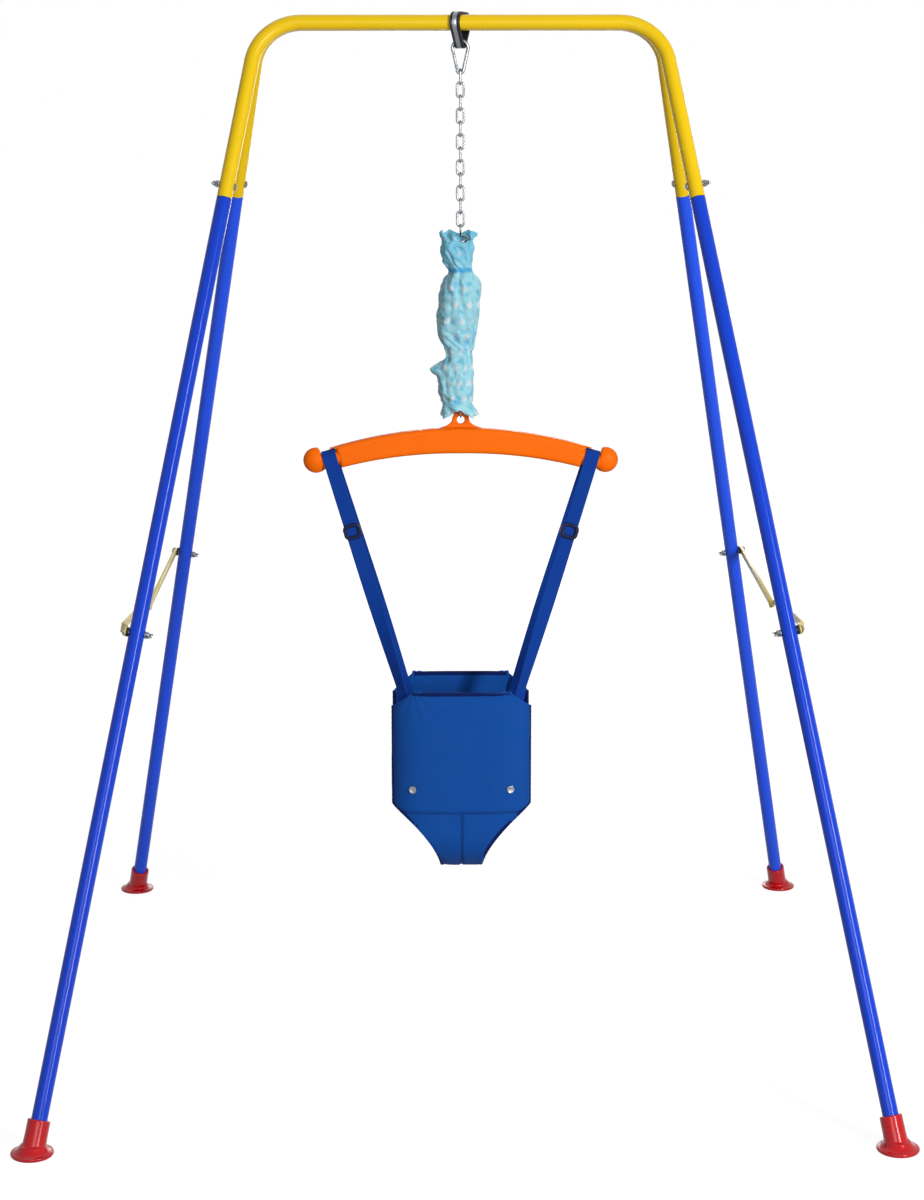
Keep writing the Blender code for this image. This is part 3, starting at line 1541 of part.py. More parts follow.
def pivot(name, place, children, parent=None):
    """An empty at a joint that carries the named objects."""
    empty = bpy.data.objects.new(name, None)
    parts.objects.link(empty)
    empty.location = place
    bpy.context.view_layer.update()
    if parent:
        hang(empty, parent)
    for child in children:
        hang(bpy.data.objects[child], empty)
    return empty


def hang(obj, parent):
    """Parents an object without moving it."""
    kept = obj.matrix_world.copy()
    obj.parent = parent
    obj.matrix_parent_inverse = parent.matrix_world.inverted()
    obj.matrix_world = kept
    bpy.context.view_layer.update()


def build_pivots():
    rear = ["top_tube_back"]
    for side in (-1, 1):
        tail = f"back_{side_name(side)}"
        kinds = ("leg", "foot", "joint_screw", "brace_bolt", "brace_nut", "brace_spacer")
        rear += [f"{kind}_{tail}" for kind in kinds]
    fold = pivot("fold_pivot", Vector((0.0, BAR_SPACING / 2, BAR_Z)), rear)
    for side in (-1, 1):
        front = f"front_{side_name(side)}"
        ends = [f"brace_{front}", f"brace_rivet_{side_name(side)}"]
        pivot(f"brace_{front}_pivot", brace_bolt_point(side, -1), ends)
        back = f"back_{side_name(side)}"
        place = brace_bolt_point(side, 1)
        pivot(f"brace_{back}_pivot", place, [f"brace_{back}"], fold)
    hook = pivot("hook_pivot", Vector((0.0, 0.0, HOOK_SWING_Z)), ["snap_hook"])
    pivot("gate_pivot", gate_pivot(), ["snap_gate"], hook)
    carrier = hook
    for label, first in (("upper", 0), ("middle", 4), ("lower", 8)):
        links = [f"chain_link_{index + 1:02d}" for index in range(first, first + 4)]
        place = Vector((0.0, 0.0, chain_pivot_z(first)))
        carrier = pivot(f"chain_{label}_pivot", place, links, carrier)
    sways = ["spring", "spring_sleeve"]
    place = Vector((0.0, 0.0, CHAIN_END_Z))
    carrier = pivot("spring_pivot", place, sways, carrier)
    place = Vector((0.0, 0.0, SPRING_BOTTOM_Z))
    carrier = pivot("bounce_pivot", place, ["lug_ring"], carrier)
    place = Vector((0.0, 0.0, RING_BOTTOM_Z))
    carrier = pivot("bar_pivot", place, ["spreader_bar"], carrier)
    seat = ["strap_left", "strap_right", "harness_front", "harness_back"]
    seat += ["snap_left", "snap_right"]
    place = Vector((0.0, 0.0, NOTCH_Z))
    carrier = pivot("harness_pivot", place, seat, carrier)
    for side in (-1, 1):
        name = f"buckle_{side_name(side)}"
        start, along = strap_run(side)
        pivot(f"{name}_pivot", start + along * BUCKLE_ALONG, [name], carrier)


def build_stand():
    for face in (-1, 1):
        top_tube(face)
        for side in (-1, 1):
            leg(side, face)
            foot(side, face)
            joint_screw(side, face)
            brace_fastening(side, face)
    for side in (-1, 1):
        front_half(side)
        rear_half(side)
        brace_rivet(side)


def build_hanging():
    hanger()
    snap_hook()
    for index in range(LINK_COUNT):
        chain_link(index)
    spring()
    lug_ring()
    sleeve()
    spreader_bar()
    for side in (-1, 1):
        strap(side)
        buckle(side)
        snap(side)
    harness_front()
    harness_back()


build_stand()
build_hanging()
build_pivots()
bpy.context.view_layer.update()
print(f"bars at {BAR_Z:.4f}, braces at {BRACE_Z:.4f}, hook {HOOK_TOP_Z:.4f}")
print(f"chain {CHAIN_TOP_Z:.4f} to {CHAIN_END_Z:.4f}, spring {SPRING_TOP_Z:.4f}")
print(f"lug {LUG_Z:.4f}, bar {BAR_CENTRE_Z:.4f}, notch {NOTCH_X:.4f} {NOTCH_Z:.4f}")
print(f"harness top {HARNESS_TOP_Z:.4f}, crotch {CROTCH_Z:.4f}")
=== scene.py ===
# %% [markdown]
# # A baby jumper on its folding stand
#
# This lesson dresses a finished CAD model. The model gives every piece its place, in metres, with
# +Z up and the front towards -Y. Here each piece gets its real surface: enamelled steel tubes,
# moulded plastic feet and bar, zinc-plated fittings, woven webbing and sewn cloth.
#
# The frame is loaded first, because everything that follows is measured from it.

import json
import math

import bmesh
import bpy
from mathutils import Matrix, Vector, noise

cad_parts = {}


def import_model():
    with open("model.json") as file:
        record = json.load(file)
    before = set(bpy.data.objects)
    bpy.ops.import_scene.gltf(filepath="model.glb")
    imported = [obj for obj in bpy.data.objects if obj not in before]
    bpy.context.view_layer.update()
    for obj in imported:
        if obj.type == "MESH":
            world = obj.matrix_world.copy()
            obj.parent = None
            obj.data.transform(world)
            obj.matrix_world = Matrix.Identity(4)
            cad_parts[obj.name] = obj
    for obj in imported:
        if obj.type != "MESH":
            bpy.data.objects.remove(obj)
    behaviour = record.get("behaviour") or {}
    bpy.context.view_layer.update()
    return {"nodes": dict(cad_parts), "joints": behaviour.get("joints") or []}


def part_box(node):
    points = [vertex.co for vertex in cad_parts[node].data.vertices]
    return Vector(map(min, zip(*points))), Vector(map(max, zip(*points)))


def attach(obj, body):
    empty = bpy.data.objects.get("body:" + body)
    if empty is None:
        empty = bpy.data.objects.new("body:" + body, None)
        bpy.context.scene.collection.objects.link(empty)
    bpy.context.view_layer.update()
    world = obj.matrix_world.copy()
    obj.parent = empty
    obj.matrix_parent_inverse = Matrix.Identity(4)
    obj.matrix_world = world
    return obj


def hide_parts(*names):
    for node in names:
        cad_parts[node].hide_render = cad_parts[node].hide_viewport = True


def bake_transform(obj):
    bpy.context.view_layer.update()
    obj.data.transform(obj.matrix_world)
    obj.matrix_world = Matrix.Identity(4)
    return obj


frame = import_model()
JOINTS = {joint["name"]: joint for joint in frame["joints"]}
X_AXIS = Vector((1.0, 0.0, 0.0))
Y_AXIS = Vector((0.0, 1.0, 0.0))
Z_AXIS = Vector((0.0, 0.0, 1.0))
SIDES = {-1: "left", 1: "right"}
FACES = {-1: "front", 1: "back"}
CORNERS = [(side, face) for face in FACES for side in SIDES]

# %% [markdown]
# ## The camera
#
# The photograph was taken from a little below the height of the top bars, about three metres
# away. A camera is set by its place, its direction and its lens. The lens comes from the focal
# length in pixels: a picture 1200 pixels high on a 36 mm sensor.

# %% Camera
PICTURE_HEIGHT = 1200
FOCAL_PIXELS = 2423.0
SENSOR = 36.0
CAMERA_PLACE = Vector((-0.0310, -3.1236, 1.1502))
CAMERA_YAW = math.radians(-0.595)
CAMERA_PITCH = math.radians(-10.83)
CAMERA_ROLL = math.radians(-0.062)

camera_data = bpy.data.cameras.new("camera")
camera_data.sensor_width = SENSOR
camera_data.lens = SENSOR * FOCAL_PIXELS / PICTURE_HEIGHT
camera = bpy.data.objects.new("camera", camera_data)
bpy.context.scene.collection.objects.link(camera)
camera.matrix_world = (
    Matrix.Translation(CAMERA_PLACE)
    @ Matrix.Rotation(CAMERA_YAW, 4, "Z")
    @ Matrix.Rotation(math.pi / 2 + CAMERA_PITCH, 4, "X")
    @ Matrix.Rotation(CAMERA_ROLL, 4, "Z")
)
bpy.context.scene.camera = camera
bpy.context.scene.view_settings.view_transform = "Standard"
print(f"lens {camera_data.lens:.1f} mm")

# %% [markdown]
# ## Sums on sockets
#
# A procedural finish is mostly arithmetic on what a texture gives. Wiring Math nodes by hand
# hides that arithmetic, so a small class wraps a socket and lets Python's own operators add the
# nodes. Every other node comes from one method that takes its type, its settings and its inputs.


# %% The class behind every finish
class Signal:
    """A socket of a finish that can be used in sums."""

    def __init__(self, finish, socket):
        self.finish = finish
        self.socket = socket

    def sum(self, operation, first, second):
        inputs = {0: first, 1: second}
        return self.finish.node("ShaderNodeMath", {"operation": operation}, inputs)

    def __add__(self, other):
        return self.sum("ADD", self, other)

    def __sub__(self, other):
        return self.sum("SUBTRACT", self, other)

    def __mul__(self, other):
        return self.sum("MULTIPLY", self, other)

    def __truediv__(self, other):
        return self.sum("DIVIDE", self, other)

    def do(self, operation, other=0.0):
        """A sum that Python has no operator for."""
        return self.sum(operation, self, other)


class Nodes:
    """A node tree that is built up one node at a time."""

    def put(self, socket, value):
        if isinstance(value, Signal):
            self.tree.links.new(value.socket, socket)
        elif hasattr(socket.default_value, "__len__") and not hasattr(value, "__len__"):
            socket.default_value = [value] * len(socket.default_value)
        else:
            socket.default_value = value

    def node(self, kind, settings=None, inputs=None, output=0):
        """Any node: its settings come first, then the values or links of its sockets."""
        made = self.tree.nodes.new(kind)
        for key, value in (settings or {}).items():
            setattr(made, key, value)
        named = {socket.identifier: socket for socket in made.inputs}
        for key, value in (inputs or {}).items():
            socket = made.inputs[key] if isinstance(key, int) else named.get(key)
            self.put(socket or made.inputs[key], value)
        if isinstance(output, int):
            return Signal(self, made.outputs[output])
        found = {socket.identifier: socket for socket in made.outputs}
        return Signal(self, found.get(output) or made.outputs[output])


class Finish(Nodes):
    """A material around one Principled shader."""

    def __init__(self, name):
        self.material = bpy.data.materials.new(name)
        self.material.use_nodes = True
        self.tree = self.material.node_tree
        self.shader = self.tree.nodes["Principled BSDF"]

    def set(self, **values):
        """Sockets of the shader, by their names with _ for a space."""
        for key, value in values.items():
            self.put(self.shader.inputs[key.replace("_", " ")], value)
        return self

    def place(self):
        return self.node("ShaderNodeTexCoord", output="Object")

    def across_and_along(self):
        """The piece's own UV map, which holds real distances in metres."""
        uv = self.node("ShaderNodeUVMap", {"uv_map": "metres"})
        split = self.node("ShaderNodeSeparateXYZ", None, {0: uv})
        return split, Signal(self, split.socket.node.outputs["Y"])

    def cloud(self, size, detail=3.0, where=None, roughness=0.5):
        """Smooth noise whose blotches are about this size in metres."""
        inputs = {"Vector": where or self.place(), "Scale": 1.0 / size}
        inputs.update({"Detail": detail, "Roughness": roughness})
        return self.node("ShaderNodeTexNoise", None, inputs, "Fac")

    def blend(self, share, first, second):
        """A colour between two colours."""
        inputs = {"Factor_Float": share, "A_Color": first, "B_Color": second}
        settings = {"data_type": "RGBA", "clamp_factor": True}
        return self.node("ShaderNodeMix", settings, inputs, "Result_Color")

    def limit(self, value, low, high, start=0.0, end=1.0):
        """Spreads a value from low..high over start..end, and stops it there."""
        inputs = {"Value": value, "From Min": low, "From Max": high}
        inputs.update({"To Min": start, "To Max": end})
        return self.node("ShaderNodeMapRange", {"clamp": True}, inputs, "Result")

    def relief(self, height, depth, strength):
        """A bump of this depth in metres, joined to the shader's normal."""
        inputs = {"Height": height, "Distance": depth, "Strength": strength}
        bump = self.node("ShaderNodeBump", None, inputs, "Normal")
        return self.set(Normal=bump)


def linear(red, green, blue):
    """A colour read off a screen, 0 to 255, as the shader's linear colour."""
    shares = (red / 255, green / 255, blue / 255)
    return (*(s / 12.92 if s < 0.04045 else ((s + 0.055) / 1.055) ** 2.4 for s in shares), 1.0)


def shade(colour, factor):
    return (*(min(1.0, channel * factor) for channel in colour[:3]), 1.0)


# %% [markdown]
# ## Enamel on steel tube
#
# The tubes are powder coated: a hard, glossy skin with a faint orange peel, a little dust, and
# bare steel where two tubes rub at their joint. The peel is fine noise in a bump, the dust is a
# slow noise in the roughness, and the wear is a band near each tube's end. The tube's UV map
# gives the distance from the joint, so that the band stays on it when the tube is moved.

# %% Enamel finishes
YELLOW = linear(236, 196, 12)
# Painted light: the front and back blues are one paint, each copy set to how its pair of legs is
# lit.
FRONT_BLUE_AS_LIT = linear(2, 60, 198)
BACK_BLUE_AS_LIT = linear(36, 84, 232)
PALE_YELLOW = linear(226, 204, 108)
BARE_STEEL = linear(130, 132, 138)
ENAMEL_SPECULAR = 0.19
WEAR_WIDTH = 0.0012
PEEL_SIZE = 0.0016


def enamel(name, colour, gloss=0.24, worn_ends=True, speckle=0.05):
    finish = Finish(name)
    slow = finish.cloud(0.11, 4.0)
    fine = finish.cloud(0.006, 3.0)
    tone = finish.blend(slow, shade(colour, 1 - speckle), shade(colour, 1 + speckle))
    scuff = finish.limit(finish.cloud(0.0035, 6.0, roughness=0.7), 0.70, 0.74)
    patchy = finish.limit(finish.cloud(0.045), 0.52, 0.66)
    worn = scuff * patchy
    if worn_ends:
        _, along = finish.across_and_along()
        edge = finish.limit(along.do("ABSOLUTE") + fine * WEAR_WIDTH, 0.0, WEAR_WIDTH, 1.0, 0.0)
        worn = worn.do("MAXIMUM", edge * finish.limit(fine, 0.40, 0.62))
    rough = finish.limit(slow, 0.35, 0.70, gloss * 0.8, gloss * 1.35)
    finish.set(
        Base_Color=finish.blend(worn, tone, BARE_STEEL),
        Roughness=rough + worn * 0.2,
        Metallic=worn * 0.85,
        Specular_IOR_Level=ENAMEL_SPECULAR,
    )
    return finish.relief(finish.cloud(PEEL_SIZE, 2.0), 0.00004, 0.25).material


PAINT_YELLOW = enamel("yellow_enamel", YELLOW)
# Painted light: these two blue enamels are copies of one paint, for the front pair and the back
# pair as each is lit.
PAINT_FRONT_AS_LIT = enamel("front_blue_enamel_as_lit", FRONT_BLUE_AS_LIT, 0.15)
PAINT_BACK_AS_LIT = enamel("back_blue_enamel_as_lit", BACK_BLUE_AS_LIT, 0.30)
PAINT_BRACE = enamel("brace_enamel", PALE_YELLOW, 0.34, worn_ends=False, speckle=0.10)
print("enamels:", PAINT_YELLOW.name, PAINT_FRONT_AS_LIT.name, PAINT_BACK_AS_LIT.name, PAINT_BRACE.name)

# %% [markdown]
# ## Plated steel, plastic and rubber
#
# Zinc plate is a dull metal whose crystals show as faint patches, with darker stains here and
# there. Moulded plastic has a fine even grain and a slow change of gloss, and rubber is matt with
# a bloom of pale dust.

# %% Metal, plastic and rubber finishes
GRAIN_DEPTH = 0.00003


def plated(name, tone, roughness, patch=0.0022):
    finish = Finish(name)
    crystals = finish.node(
        "ShaderNodeTexVoronoi",
        {"feature": "F1"},
        {"Vector": finish.place(), "Scale": 1.0 / patch},
        "Color",
    )
    grey = finish.node("ShaderNodeRGBToBW", None, {0: crystals})
    stain = finish.limit(finish.cloud(0.009, 5.0), 0.45, 0.75)
    bright = finish.blend(grey, shade(tone, 0.86), shade(tone, 1.10))
    finish.set(
        Base_Color=finish.blend(stain * 0.5, bright, shade(tone, 0.55)),
        Roughness=grey * 0.12 + stain * 0.12 + roughness,
        Metallic=1.0,
    )
    scratches = finish.cloud(0.0006, 2.0)
    return finish.relief(scratches, GRAIN_DEPTH, 0.3).material


def moulded(name, colour, roughness, specular, grain=0.0006, uneven=0.08):
    finish = Finish(name)
    slow = finish.cloud(0.030, 3.0)
    flow = finish.limit(slow, 0.3, 0.7)
    finish.set(
        Base_Color=finish.blend(flow, shade(colour, 1 - uneven), shade(colour, 1 + uneven)),
        Roughness=finish.limit(slow, 0.3, 0.7, roughness * 0.85, roughness * 1.2),
        Specular_IOR_Level=specular,
    )
    return finish.relief(finish.cloud(grain, 2.0), GRAIN_DEPTH, 0.35).material


def rubber(name, colour):
    finish = Finish(name)
    dust = finish.limit(finish.cloud(0.010, 6.0, roughness=0.65), 0.46, 0.72)
    finish.set(
        Base_Color=finish.blend(dust * 0.35, colour, linear(92, 92, 96)),
        Roughness=dust * 0.15 + 0.55,
        Specular_IOR_Level=0.25,
    )
    return finish.relief(finish.cloud(0.0008, 3.0), 0.00006, 0.5).material


ZINC = plated("zinc_plate", linear(124, 128, 132), 0.26)
BRIGHT_STEEL = plated("bright_steel", linear(142, 146, 150), 0.20, 0.0014)
FOOT_RED = moulded("foot_plastic", linear(188, 2, 16), 0.20, 0.32)
BAR_ORANGE = moulded("bar_plastic", linear(255, 110, 4), 0.40, 0.08, grain=0.0009, uneven=0.04)
BUCKLE_NAVY = moulded("buckle_plastic_finish", linear(8, 18, 56), 0.42, 0.15)
BLACK_RUBBER = rubber("black_rubber_finish", linear(22, 22, 26))
print("hard finishes:", ZINC.name, FOOT_RED.name, BAR_ORANGE.name, BLACK_RUBBER.name)

# %% [markdown]
# ## Cloth and webbing
#
# Woven goods need a weave that turns with the cloth, so these finishes read the piece's own UV
# map. It holds real distances, so a thread is as wide as it says whatever the piece's size.
# A sine along one direction crossed with a sine along the other gives the over and under.


# %% Woven finishes
def weave(across, along, thread):
    """The height of a plain weave, 0 to 1."""
    turn = 2 * math.pi / thread
    warp = (across * turn).do("SINE")
    weft = (along * turn).do("SINE")
    return (warp * weft) * 0.5 + 0.5


CLOTH_SPECULAR = 0.12
SEAM_SHADE = 0.0022
PANEL_SEAM_ROW = 0.1232
COTTON_THREAD = 0.0007


def woven(name, colour, thread, fuzz=0.10, sheen=0.04, depth=0.00012, seam_row=None):
    """A plain weave, slightly unevenly dyed, with painted shade in its low points and at its seams.
    """
    finish = Finish(name)
    across, along = finish.across_and_along()
    height = weave(across, along, thread)
    dye = finish.cloud(0.018, 5.0)
    tone = finish.blend(dye, shade(colour, 1 - fuzz), shade(colour, 1 + fuzz))
    # Painted shade: the low points of the weave are darker.
    cloth = finish.blend(height, shade(colour, 0.74), tone)
    # Painted shade: a dark line along the seams where they pull the cloth in, the shadow of their
    # fold with a little of the thread's darker colour.
    if seam_row:
        row_shade = finish.limit((along - seam_row).do("ABSOLUTE"), 0.0, SEAM_SHADE, 1.0, 0.0)
        middle = finish.limit(across.do("ABSOLUTE"), 0.0, SEAM_SHADE, 1.0, 0.0)
        below = finish.limit(along, seam_row - SEAM_SHADE, seam_row, 1.0, 0.0)
        line = row_shade.do("MAXIMUM", middle * below)
        cloth = finish.blend(line * 0.8, cloth, shade(colour, 0.40))
    finish.set(
        Base_Color=cloth,
        Roughness=finish.limit(dye, 0.3, 0.7, 0.78, 0.92),
        Specular_IOR_Level=CLOTH_SPECULAR,
        Sheen_Weight=sheen,
        Sheen_Roughness=0.5,
    )
    lint = finish.cloud(0.0012, 4.0)
    return finish.relief(height * 0.8 + lint * 0.5, depth, 0.6).material


def ribbed_webbing(name, colour, width, rib=0.0011):
    """Webbing: slanted ribs each way from the middle, shade painted in the grooves, a tight plain
    edge.
    """
    finish = Finish(name)
    across, along = finish.across_and_along()
    off_middle = across.do("ABSOLUTE")
    slant = (along + off_middle * 0.8) * (2 * math.pi / rib)
    ribs = slant.do("SINE") * 0.5 + 0.5
    strands = (across * (2 * math.pi / (rib * 1.6))).do("SINE") * 0.5 + 0.5
    edge = finish.limit(off_middle, width * 0.44, width * 0.455)
    height = ribs * 0.65 + strands * 0.35
    dye = finish.cloud(0.012, 4.0)
    tone = finish.blend(dye, shade(colour, 0.88), shade(colour, 1.12))
    # Painted shade: the grooves between the ribs are darker.
    body = finish.blend(height, shade(colour, 0.60), tone)
    finish.set(
        Base_Color=finish.blend(edge * 0.5, body, shade(colour, 0.72)),
        Roughness=finish.limit(height, 0.0, 1.0, 0.86, 0.66),
        Specular_IOR_Level=CLOTH_SPECULAR,
        Sheen_Weight=0.03,
        Sheen_Roughness=0.4,
    )
    return finish.relief(height, 0.00022, 0.7).material


def dotted_cotton(name, colour, dot_colour, deep, apart, dot, gather):
    """Thin cotton with soft white dots in staggered rows, and painted shade in its hollows and
    weave.
    """
    finish = Finish(name)
    across, along = finish.across_and_along()
    row = (along / apart[1]).do("FLOOR")
    stagger = (row * 0.5).do("FRACT")
    cell_x = (((across / apart[0]) + stagger).do("FRACT") - 0.5) * apart[0]
    cell_y = ((along / apart[1]).do("FRACT") - 0.5) * apart[1]
    reach = (cell_x * cell_x + cell_y * cell_y).do("SQRT")
    dots = finish.limit(reach + finish.cloud(0.004) * 0.0008, dot * 0.38, dot * 0.66, 1.0, 0.0)
    thread = weave(across, along, COTTON_THREAD)
    dye = finish.cloud(0.020, 4.0)
    base = finish.blend(dye, shade(colour, 0.90), shade(colour, 1.10))
    # Painted shade: the weave's low points are a little darker.
    cloth = finish.blend(thread * 0.5 + 0.5, shade(colour, 0.92), base)
    printed = finish.blend(dots * 0.85, cloth, dot_colour)
    # Painted shade: the cloth turns a deeper blue in its hollows, along the pinched row and above
    # it.
    crease_shade = finish.node("ShaderNodeAttribute", {"attribute_name": "crease_shade"}, output="Fac")
    pinch_shade = finish.limit((along - gather).do("ABSOLUTE"), 0.0015, 0.0050, 0.9, 0.0)
    above = finish.limit(along, gather * 0.7, gather, 0.45, 0.0)
    painted_shade = (crease_shade * 0.65).do("MAXIMUM", pinch_shade).do("MAXIMUM", above)
    finish.set(
        Base_Color=finish.blend(painted_shade, printed, deep),
        Roughness=finish.limit(dye, 0.3, 0.7, 0.62, 0.80),
        Specular_IOR_Level=0.3,
        Sheen_Weight=0.08,
        Sheen_Roughness=0.5,
        Subsurface_Weight=0.35,
        Subsurface_Scale=0.008,
        Subsurface_Radius=(0.4, 0.8, 1.0),
    )
    crumple = (finish.cloud(0.007, 3.0, roughness=0.6) - 0.5).do("ABSOLUTE")
    height = thread * 0.04 + finish.cloud(0.002, 4.0) * 0.10 - crumple
    return finish.relief(height, 0.0026, 0.8).material


WEBBING_WIDTH = 0.0184
ROYAL = linear(9, 65, 162)
PANEL_BLUE = linear(16, 80, 166)
NAVY = linear(6, 30, 92)
WEBBING = ribbed_webbing("royal_webbing", ROYAL, WEBBING_WIDTH)
PANEL_CLOTH = woven("panel_canvas", PANEL_BLUE, 0.0009, seam_row=PANEL_SEAM_ROW)
BAND_CLOTH = woven("side_band_canvas", PANEL_BLUE, 0.0009)
BINDING_CLOTH = woven("binding_tape", NAVY, 0.0007, sheen=0.02)
THREAD = woven("sewing_thread", linear(20, 72, 158), 0.0004, sheen=0.02, depth=0.00004)
SLEEVE_WIDTH = 0.174
SLEEVE_GATHER = 0.0560
DOTS_APART = (SLEEVE_WIDTH / 9, 0.0225)
DOT_SIZE = 0.0086
SLEEVE_BLUE = linear(160, 232, 255)
# The deeper blue of the painted shade in the sleeve's folds.
SLEEVE_SHADE_BLUE = linear(48, 168, 226)
SLEEVE_DOTS = linear(222, 241, 250)
SLEEVE_COTTON = dotted_cotton(
    "dotted_cotton", SLEEVE_BLUE, SLEEVE_DOTS, SLEEVE_SHADE_BLUE, DOTS_APART, DOT_SIZE, SLEEVE_GATHER
)
print("woven finishes:", WEBBING.name, PANEL_CLOTH.name, SLEEVE_COTTON.name)

# %% [markdown]
# ## From mesh to piece
#
# Every piece ends the same way: a plain mesh whose place is in its vertices, on an object at the
# origin, riding on one body of the frame. These helpers build meshes from the few moves that
# this object needs: a turned profile, a wire along points, a flat plate, and a soft fusion of
# several shapes into one moulding.


# %% Mesh helpers
def linked(name, data):
    obj = bpy.data.objects.new(name, data)
    bpy.context.scene.collection.objects.link(obj)
    return obj


def baked(obj):
    """The plain mesh that an object's modifiers make. The object goes."""
    bpy.context.view_layer.update()
    graph = bpy.context.evaluated_depsgraph_get()
    mesh = bpy.data.meshes.new_from_object(obj.evaluated_get(graph))
    mesh.transform(obj.matrix_world)
    bpy.data.objects.remove(obj)
    return mesh


def reshaped(mesh, *steps):
    """Runs modifiers, given as (type, settings), over a mesh."""
    obj = linked("work", mesh)
    for kind, settings in steps:
        modifier = obj.modifiers.new(kind, kind)
        for key, value in settings.items():
            setattr(modifier, key, value)
    return baked(obj)


def finished(work, name):
    """The mesh that a bmesh was worked into. The bmesh goes."""
    mesh = bpy.data.meshes.new(name)
    work.to_mesh(mesh)
    work.free()
    return mesh


def joined(*meshes):
    work = bmesh.new()
    for mesh in meshes:
        work.from_mesh(mesh)
    return finished(work, "joined")


def piece(name, mesh, material, body, replaces=(), angle=38):
    """A finished piece on its body. An angle of 0 leaves its faces flat."""
    mesh.materials.clear()
    mesh.materials.append(material)
    obj = linked(name, mesh)
    mesh.name = name
    if angle:
        mesh.shade_smooth()
        mesh.set_sharp_from_angle(angle=math.radians(angle))
    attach(obj, body)
    if replaces:
        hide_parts(*([replaces] if isinstance(replaces, str) else replaces))
    return obj


def placed(origin, z_axis, x_hint):
    """A place whose +Z runs along z_axis and whose +X leans towards x_hint."""
    z = z_axis.normalized()
    x = (x_hint - z * x_hint.dot(z)).normalized()
    return Matrix.Translation(origin) @ Matrix((x, z.cross(x), z)).transposed().to_4x4()


def turned(profile, place, steps):
    """A profile of (radius, height) points turned about Z. Its UV is in metres."""
    work = bmesh.new()
    corners = [work.verts.new((r, 0.0, z)) for r, z in profile]
    edges = [work.edges.new(pair) for pair in zip(corners, corners[1:])]
    if profile[0][0] > 0:
        edges.append(work.edges.new((corners[-1], corners[0])))
    spun = {"cent": (0, 0, 0), "axis": (0, 0, 1), "angle": 2 * math.pi, "steps": steps}
    bmesh.ops.spin(work, geom=corners + edges, use_merge=True, **spun)
    bmesh.ops.remove_doubles(work, verts=work.verts, dist=1e-6)
    bmesh.ops.recalc_face_normals(work, faces=work.faces)
    uv = work.loops.layers.uv.new("metres")
    for face in work.faces:
        for loop in face.loops:
            point = loop.vert.co
            loop[uv].uv = (math.atan2(point.y, point.x) * point.xy.length, point.z)
    mesh = finished(work, "turned")
    mesh.transform(place)
    return mesh


def wire(points, radius, sides, cyclic=False):
    """A round wire through the points, with closed ends."""
    data = bpy.data.curves.new("wire", "CURVE")
    data.dimensions = "3D"
    data.bevel_depth = radius
    data.bevel_resolution = sides // 2 - 2
    data.use_fill_caps = not cyclic
    spline = data.splines.new("POLY")
    spline.points.add(len(points) - 1)
    for item, point in zip(spline.points, points):
        item.co = (*point, 1.0)
    spline.use_cyclic_u = cyclic
    mesh = baked(linked("wire", data))
    return cleaned(mesh)


def plate(outlines, thickness, place, edge, rounds=3):
    """A flat plate. The first outline is its rim and the others are holes."""
    data = bpy.data.curves.new("plate", "CURVE")
    data.dimensions = "2D"
    data.fill_mode = "BOTH"
    data.extrude = thickness / 2 - edge
    data.bevel_depth = edge
    data.bevel_resolution = rounds
    data.offset = -edge
    for outline in outlines:
        spline = data.splines.new("POLY")
        spline.points.add(len(outline) - 1)
        for item, (x, y) in zip(spline.points, outline):
            item.co = (x, y, 0.0, 1.0)
        spline.use_cyclic_u = True
    mesh = baked(linked("plate", data))
    mesh.transform(place)
    return cleaned(mesh)


def cleaned(mesh):
    """Welds doubles and turns every face outwards."""
    work = bmesh.new()
    work.from_mesh(mesh)
    bmesh.ops.remove_doubles(work, verts=work.verts, dist=1e-6)
    bmesh.ops.recalc_face_normals(work, faces=work.faces)
    work.to_mesh(mesh)
    work.free()
    return mesh


def block(size, place, rounding, segments=3):
    """A box of full size (x, y, z) with rounded edges."""
    work = bmesh.new()
    bmesh.ops.create_cube(work, size=1.0)
    bmesh.ops.scale(work, vec=Vector(size), verts=work.verts)
    settings = {"offset": rounding, "segments": segments, "affect": "EDGES"}
    bmesh.ops.bevel(work, geom=work.edges, profile=0.5, **settings)
    mesh = finished(work, "block")
    mesh.transform(place)
    return mesh


def fused(meshes, voxel, rounds, keep):
    """Melts shapes into one moulding, with a soft fillet, and keeps this share of its faces."""
    return reshaped(
        joined(*meshes),
        ("REMESH", {"mode": "VOXEL", "voxel_size": voxel}),
        ("SMOOTH", {"factor": 0.5, "iterations": rounds}),
        ("DECIMATE", {"ratio": keep}),
    )


def squared(value, power):
    """A sine or cosine bent by a power, which squares off an oval."""
    return math.copysign(abs(value) ** power, value)


def arc(radius, centre, start, turn, steps):
    """Points on a circle, its last one left out of a full turn."""
    count = steps if abs(turn) >= 2 * math.pi else steps + 1
    angles = [start + turn * i / steps for i in range(count)]
    return [(centre[0] + radius * math.cos(a), centre[1] + radius * math.sin(a)) for a in angles]


# %% [markdown]
# ## Trees that repeat or follow a path
#
# Links, stitches, coils and tubes all follow a line, so they are made with Geometry Nodes. One
# class holds a tree with named inputs. It sets them by their identifiers, bakes the result into
# a plain mesh, and leaves no modifier behind.


